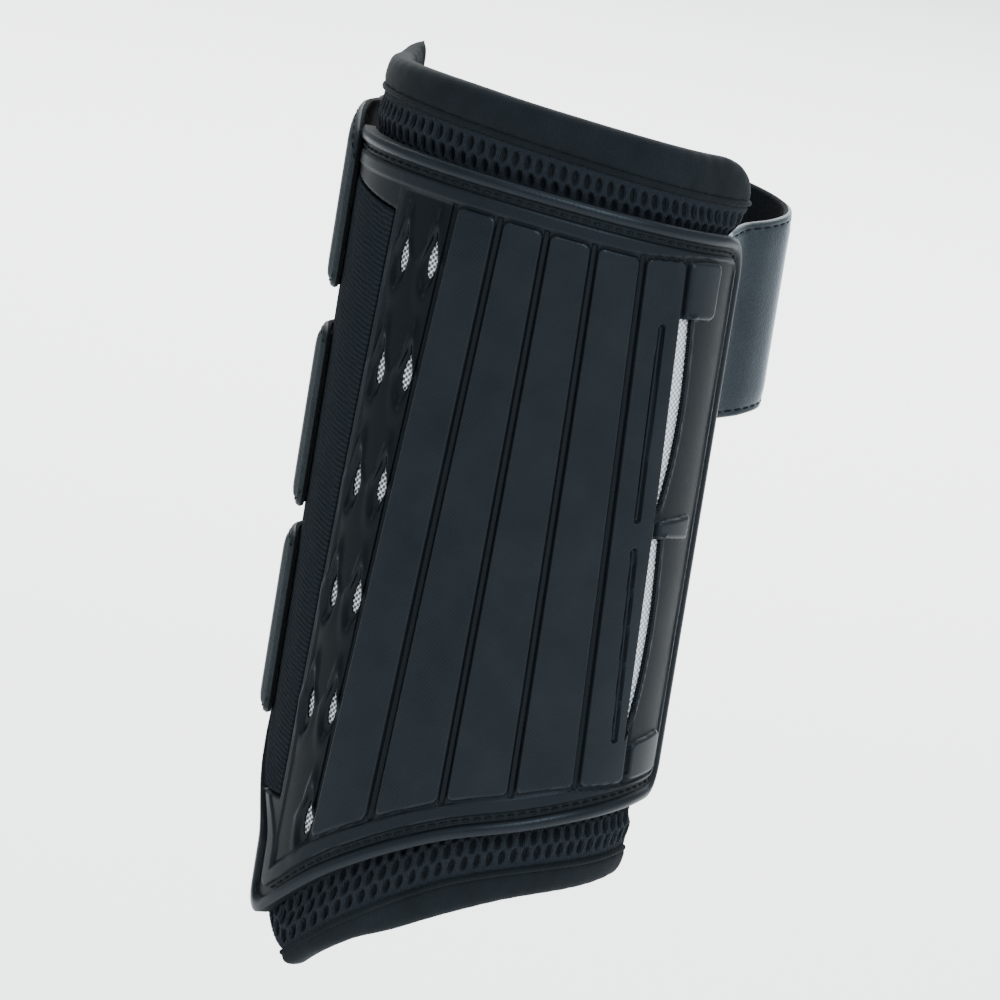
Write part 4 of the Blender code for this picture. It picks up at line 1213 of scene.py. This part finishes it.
def ribbon(name, route, middle, widths, corners, materials, box_at=(), hug=0.0):
    """A strap on edge along a plan route (mm), puffed between two sewn lines, with round edges and stitches.

    corners holds the (length, rise) of the rounding at its end, below and above: zeros where it ends square.
    box_at holds the places of sewn lines across it, and its edges bend inwards by hug.
    """
    ahead = np.gradient(route, axis=0)
    ahead /= np.linalg.norm(ahead, axis=1)[:, None]
    outward = np.stack([ahead[:, 1], -ahead[:, 0]], 1)
    reach = reach_of(route)
    to_end = reach[-1] - reach
    across = np.concatenate([np.linspace(-1, -0.86, 9), np.linspace(-0.8, 0.8, 24), np.linspace(0.86, 1, 9)])
    half = 0.5 * widths
    sides = []
    for length, rise in corners:
        short = np.clip(1 - to_end / length, 0, 1) if length else 0 * to_end
        sides.append(half - rise * (1 - np.sqrt(1 - short**2)))
    reach_up = np.where(across[None] > 0, sides[1][:, None], sides[0][:, None])
    height = middle[:, None] + reach_up * across[None]
    from_edge = reach_up * (1 - np.abs(across))[None]
    nearest = np.minimum(from_edge, to_end[:, None]) if corners[0][0] else from_edge
    rounding = np.sqrt(1 - np.clip(1 - nearest / 0.9, 0, 1) ** 2)
    channel = 0.28 * np.exp(-(((nearest - SEAM_INSET) / 0.45) ** 2))
    puff = 0.3 * smooth(2.0, 6.0, nearest)
    waves = 0.1 * np.sin(reach / 7.3)[:, None] * smooth(3.0, 12.0, nearest)
    bend = -hug * (1 - smooth(0.0, 4.0, nearest))
    face = 0.5 * STRAP_THICK * rounding - channel + puff + waves + bend
    back = -0.5 * STRAP_THICK * rounding + bend
    outer, inner = (np.concatenate([route[:, None] + outward[:, None] * off[..., None], height[..., None]], -1)
                    for off in (face, back))
    columns, rows = outer.shape[:2]
    front, rear, walls = grid_faces(columns, rows)
    points = np.concatenate([outer.reshape(-1, 3), inner.reshape(-1, 3)])
    faces = np.concatenate([front, rear, walls])
    index = np.repeat([0, 1, 0], [len(front), len(rear), len(walls)])
    level = np.concatenate([outward, np.zeros((columns, 1))], 1)
    seam = 1 - SEAM_INSET / half.mean()
    lines = [(outer[:, np.argmin(np.abs(across - side * seam))], level) for side in (-1, 1)]
    for place in box_at:
        near = int(np.argmin(np.abs(reach - place)))
        span = (across > -0.9) & (across < 0.9)
        lines.append((outer[near, span], np.repeat(level[near][None], span.sum(), 0)))
    sewn, sewn_faces, start = [], [], len(points)
    for line, normals in lines:
        centres, direction = along_line(line, SEAM_PITCH)
        steps = reach_of(line)
        at = np.arange(0.5 * SEAM_PITCH, steps[-1], SEAM_PITCH)[: len(centres)]
        normal = np.stack([np.interp(at, steps, normals[:, k]) for k in range(3)], 1)
        made, quads = stitches(centres, direction, normal, 2.0, 0.26, 0.1)
        sewn.append(made / MM)
        sewn_faces.append(quads + start)
        start += len(made)
    points = np.concatenate([points, *sewn]) * MM
    index = np.concatenate([index, np.full(sum(len(f) for f in sewn_faces), 2)])
    return mesh_object(name, points, np.concatenate([faces, *sewn_faces]), materials, index, sharp=50)


def make_strap(name, right_width, left_width, right_z, left_z):
    wide = name == "top"
    loop, back = (WIDE_LOOP, WIDE_BACK) if wide else (CLOSE_LOOP, CLOSE_BACK)
    tail = [tuple(float(v) for v in section_xy(s, ANCHOR_MIDDLE_OUT)) for s in (ANCHOR_FROM, 66.0, 69.5)]
    start = tuple(float(v) for v in section_xy(ANCHOR_TO + STRAP_START_GAP, ANCHOR_MIDDLE_OUT))
    turn = [(x, back * y) for x, y in LEFT_TURN]
    free = plan_curve([start, *loop, (0.0, back), (FLAT_LEFT, back), *turn], 1.2)
    sewn = plan_curve([*tail, start], 1.2)[:-1]
    route = np.concatenate([sewn, free])
    reach = reach_of(free)
    share = reach / reach[-1]
    middle = np.concatenate([np.full(len(sewn), right_z), mix(right_z, left_z, (1 - (1 - share) ** 2) * 0.9)])
    widths = np.concatenate([np.full(len(sewn), right_width), mix(right_width, left_width, share)])
    upper_corner = (30.0, 13.0) if wide else (0.0, 0.0)
    strap = ribbon(f"{name}_strap", route, middle, widths, ((0, 0), upper_corner), [STRAP, STRAP_BACK, THREAD])
    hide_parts(f"strap_{name}", f"strap_tail_{name}")
    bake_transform(strap)

    end, before = free[-1], free[-2]
    direction = (end - before) / np.hypot(*(end - before))
    pivot = end + direction * STRAP_START_GAP
    hugging = [tuple(float(v) for v in section_xy(s, TAB_OUT)) for s in np.linspace(TAB_BEND, TAB_END, 5)]
    lapped = reach > reach[-1] - TAB_OVERLAP
    tab_route = np.concatenate([free[lapped], plan_curve([tuple(pivot), *hugging], 1.0)])
    along = reach_of(tab_route)
    tab_middle = mix(middle[len(sewn) :][lapped][0], left_z, along / along[-1])
    tab_middle = np.minimum(np.maximum(tab_middle, min(float(middle[-1]), left_z) - 2), left_z)
    normal = np.stack([np.gradient(tab_route[:, 1]), -np.gradient(tab_route[:, 0])], 1)
    normal /= np.hypot(*normal.T)[:, None]
    tab_route = tab_route + normal * TAB_LIFT * (1 - smooth(10.0, 20.0, along))[:, None]
    upper_corner = (24.0, 15.0) if wide else (5.0, 5.0)
    widths = np.full(len(tab_route), left_width - 0.6)
    tab = ribbon(f"{name}_tab", tab_route, tab_middle, widths, (TAB_CORNER, upper_corner),
                 [TAB, STRAP_BACK, THREAD], box_at=(2.0, 11.0), hug=TAB_HUG)
    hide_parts(f"tab_{name}")
    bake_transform(tab)


def make_hook_patches():
    """The hook fields keep their CAD solids, with a moulded hook material."""
    for name, *_ in STRAPS:
        node = frame["nodes"][f"hook_patch_{name}"]
        node.data.materials.clear()
        node.data.materials.append(HOOK)


# ---------------------------------------------------------------- studio

def make_studio():
    floor_data = bpy.data.meshes.new("floor")
    side, level = FLOOR_SIDE, CAD_BOX[0].z - FLOOR_DROP
    corners = [(-side, -side, level), (side, -side, level), (side, side, level), (-side, side, level)]
    floor_data.from_pydata(corners, [], [(0, 1, 2, 3)])
    floor = bpy.data.objects.new("floor", floor_data)
    floor_data.materials.append(new_material("floor_white", (0.92, 0.92, 0.92), 0.9))
    bpy.context.scene.collection.objects.link(floor)
    world = bpy.data.worlds.new("studio")
    world.use_nodes = True
    world.node_tree.nodes["Background"].inputs["Color"].default_value = (*SKY, 1)
    world.node_tree.nodes["Background"].inputs["Strength"].default_value = SKY_STRENGTH
    bpy.context.scene.world = world
    for name, place, size, power in LIGHTS:
        data = bpy.data.lights.new(name, "AREA")
        data.size, data.energy, data.color, target = size, power, SKY, (0, 0, 0)
        if name == "backdrop":
            data.shape, data.size_y, data.color, target = "RECTANGLE", 1.6 * size, (1, 1, 1), (0, 5.0, -1)
        light = bpy.data.objects.new(name, data)
        light.location = place
        light.rotation_euler = (Vector(target) - Vector(place)).to_track_quat("-Z", "Y").to_euler()
        bpy.context.scene.collection.objects.link(light)


def make_camera():
    """Long lens, a little above, rolled so that the limb's axis leans to the right."""
    elevation, lean, distance = math.radians(CAMERA_RISE), math.radians(CAMERA_LEAN), CAMERA_DISTANCE
    right, upright = Vector((1, 0, 0)), Vector((0, math.sin(elevation), math.cos(elevation)))
    forward = Vector((0, math.cos(elevation), -math.sin(elevation)))
    camera_right = right * math.cos(lean) + upright * math.sin(lean)
    camera_up = upright * math.cos(lean) - right * math.sin(lean)
    data = bpy.data.cameras.new("camera")
    data.sensor_width = SENSOR
    data.lens = SENSOR * distance / CAMERA_SHOWS
    data.clip_start, data.clip_end = 0.1, 60.0
    camera = bpy.data.objects.new("camera", data)
    aim = right * CAMERA_AIM[0] + upright * CAMERA_AIM[1]
    turned = Matrix((camera_right, camera_up, -forward)).transposed().to_4x4()
    camera.matrix_world = Matrix.Translation(aim - forward * distance) @ turned
    bpy.context.scene.collection.objects.link(camera)
    bpy.context.scene.camera = camera


def clear_startup():
    kept = set(frame["nodes"].values()) | set(frame["bodies"].values())
    for obj in list(bpy.data.objects):
        if obj not in kept:
            bpy.data.objects.remove(obj, do_unlink=True)


def main():
    clear_startup()
    make_camera()
    make_studio()
    make_shell()
    make_shell_stitching()
    make_slot_edging()
    make_silver_meshes()
    make_spacer()
    make_piping()
    make_strip()
    make_lining()
    make_collars()
    for strap in STRAPS:
        make_strap(*strap)
    make_hook_patches()


main()
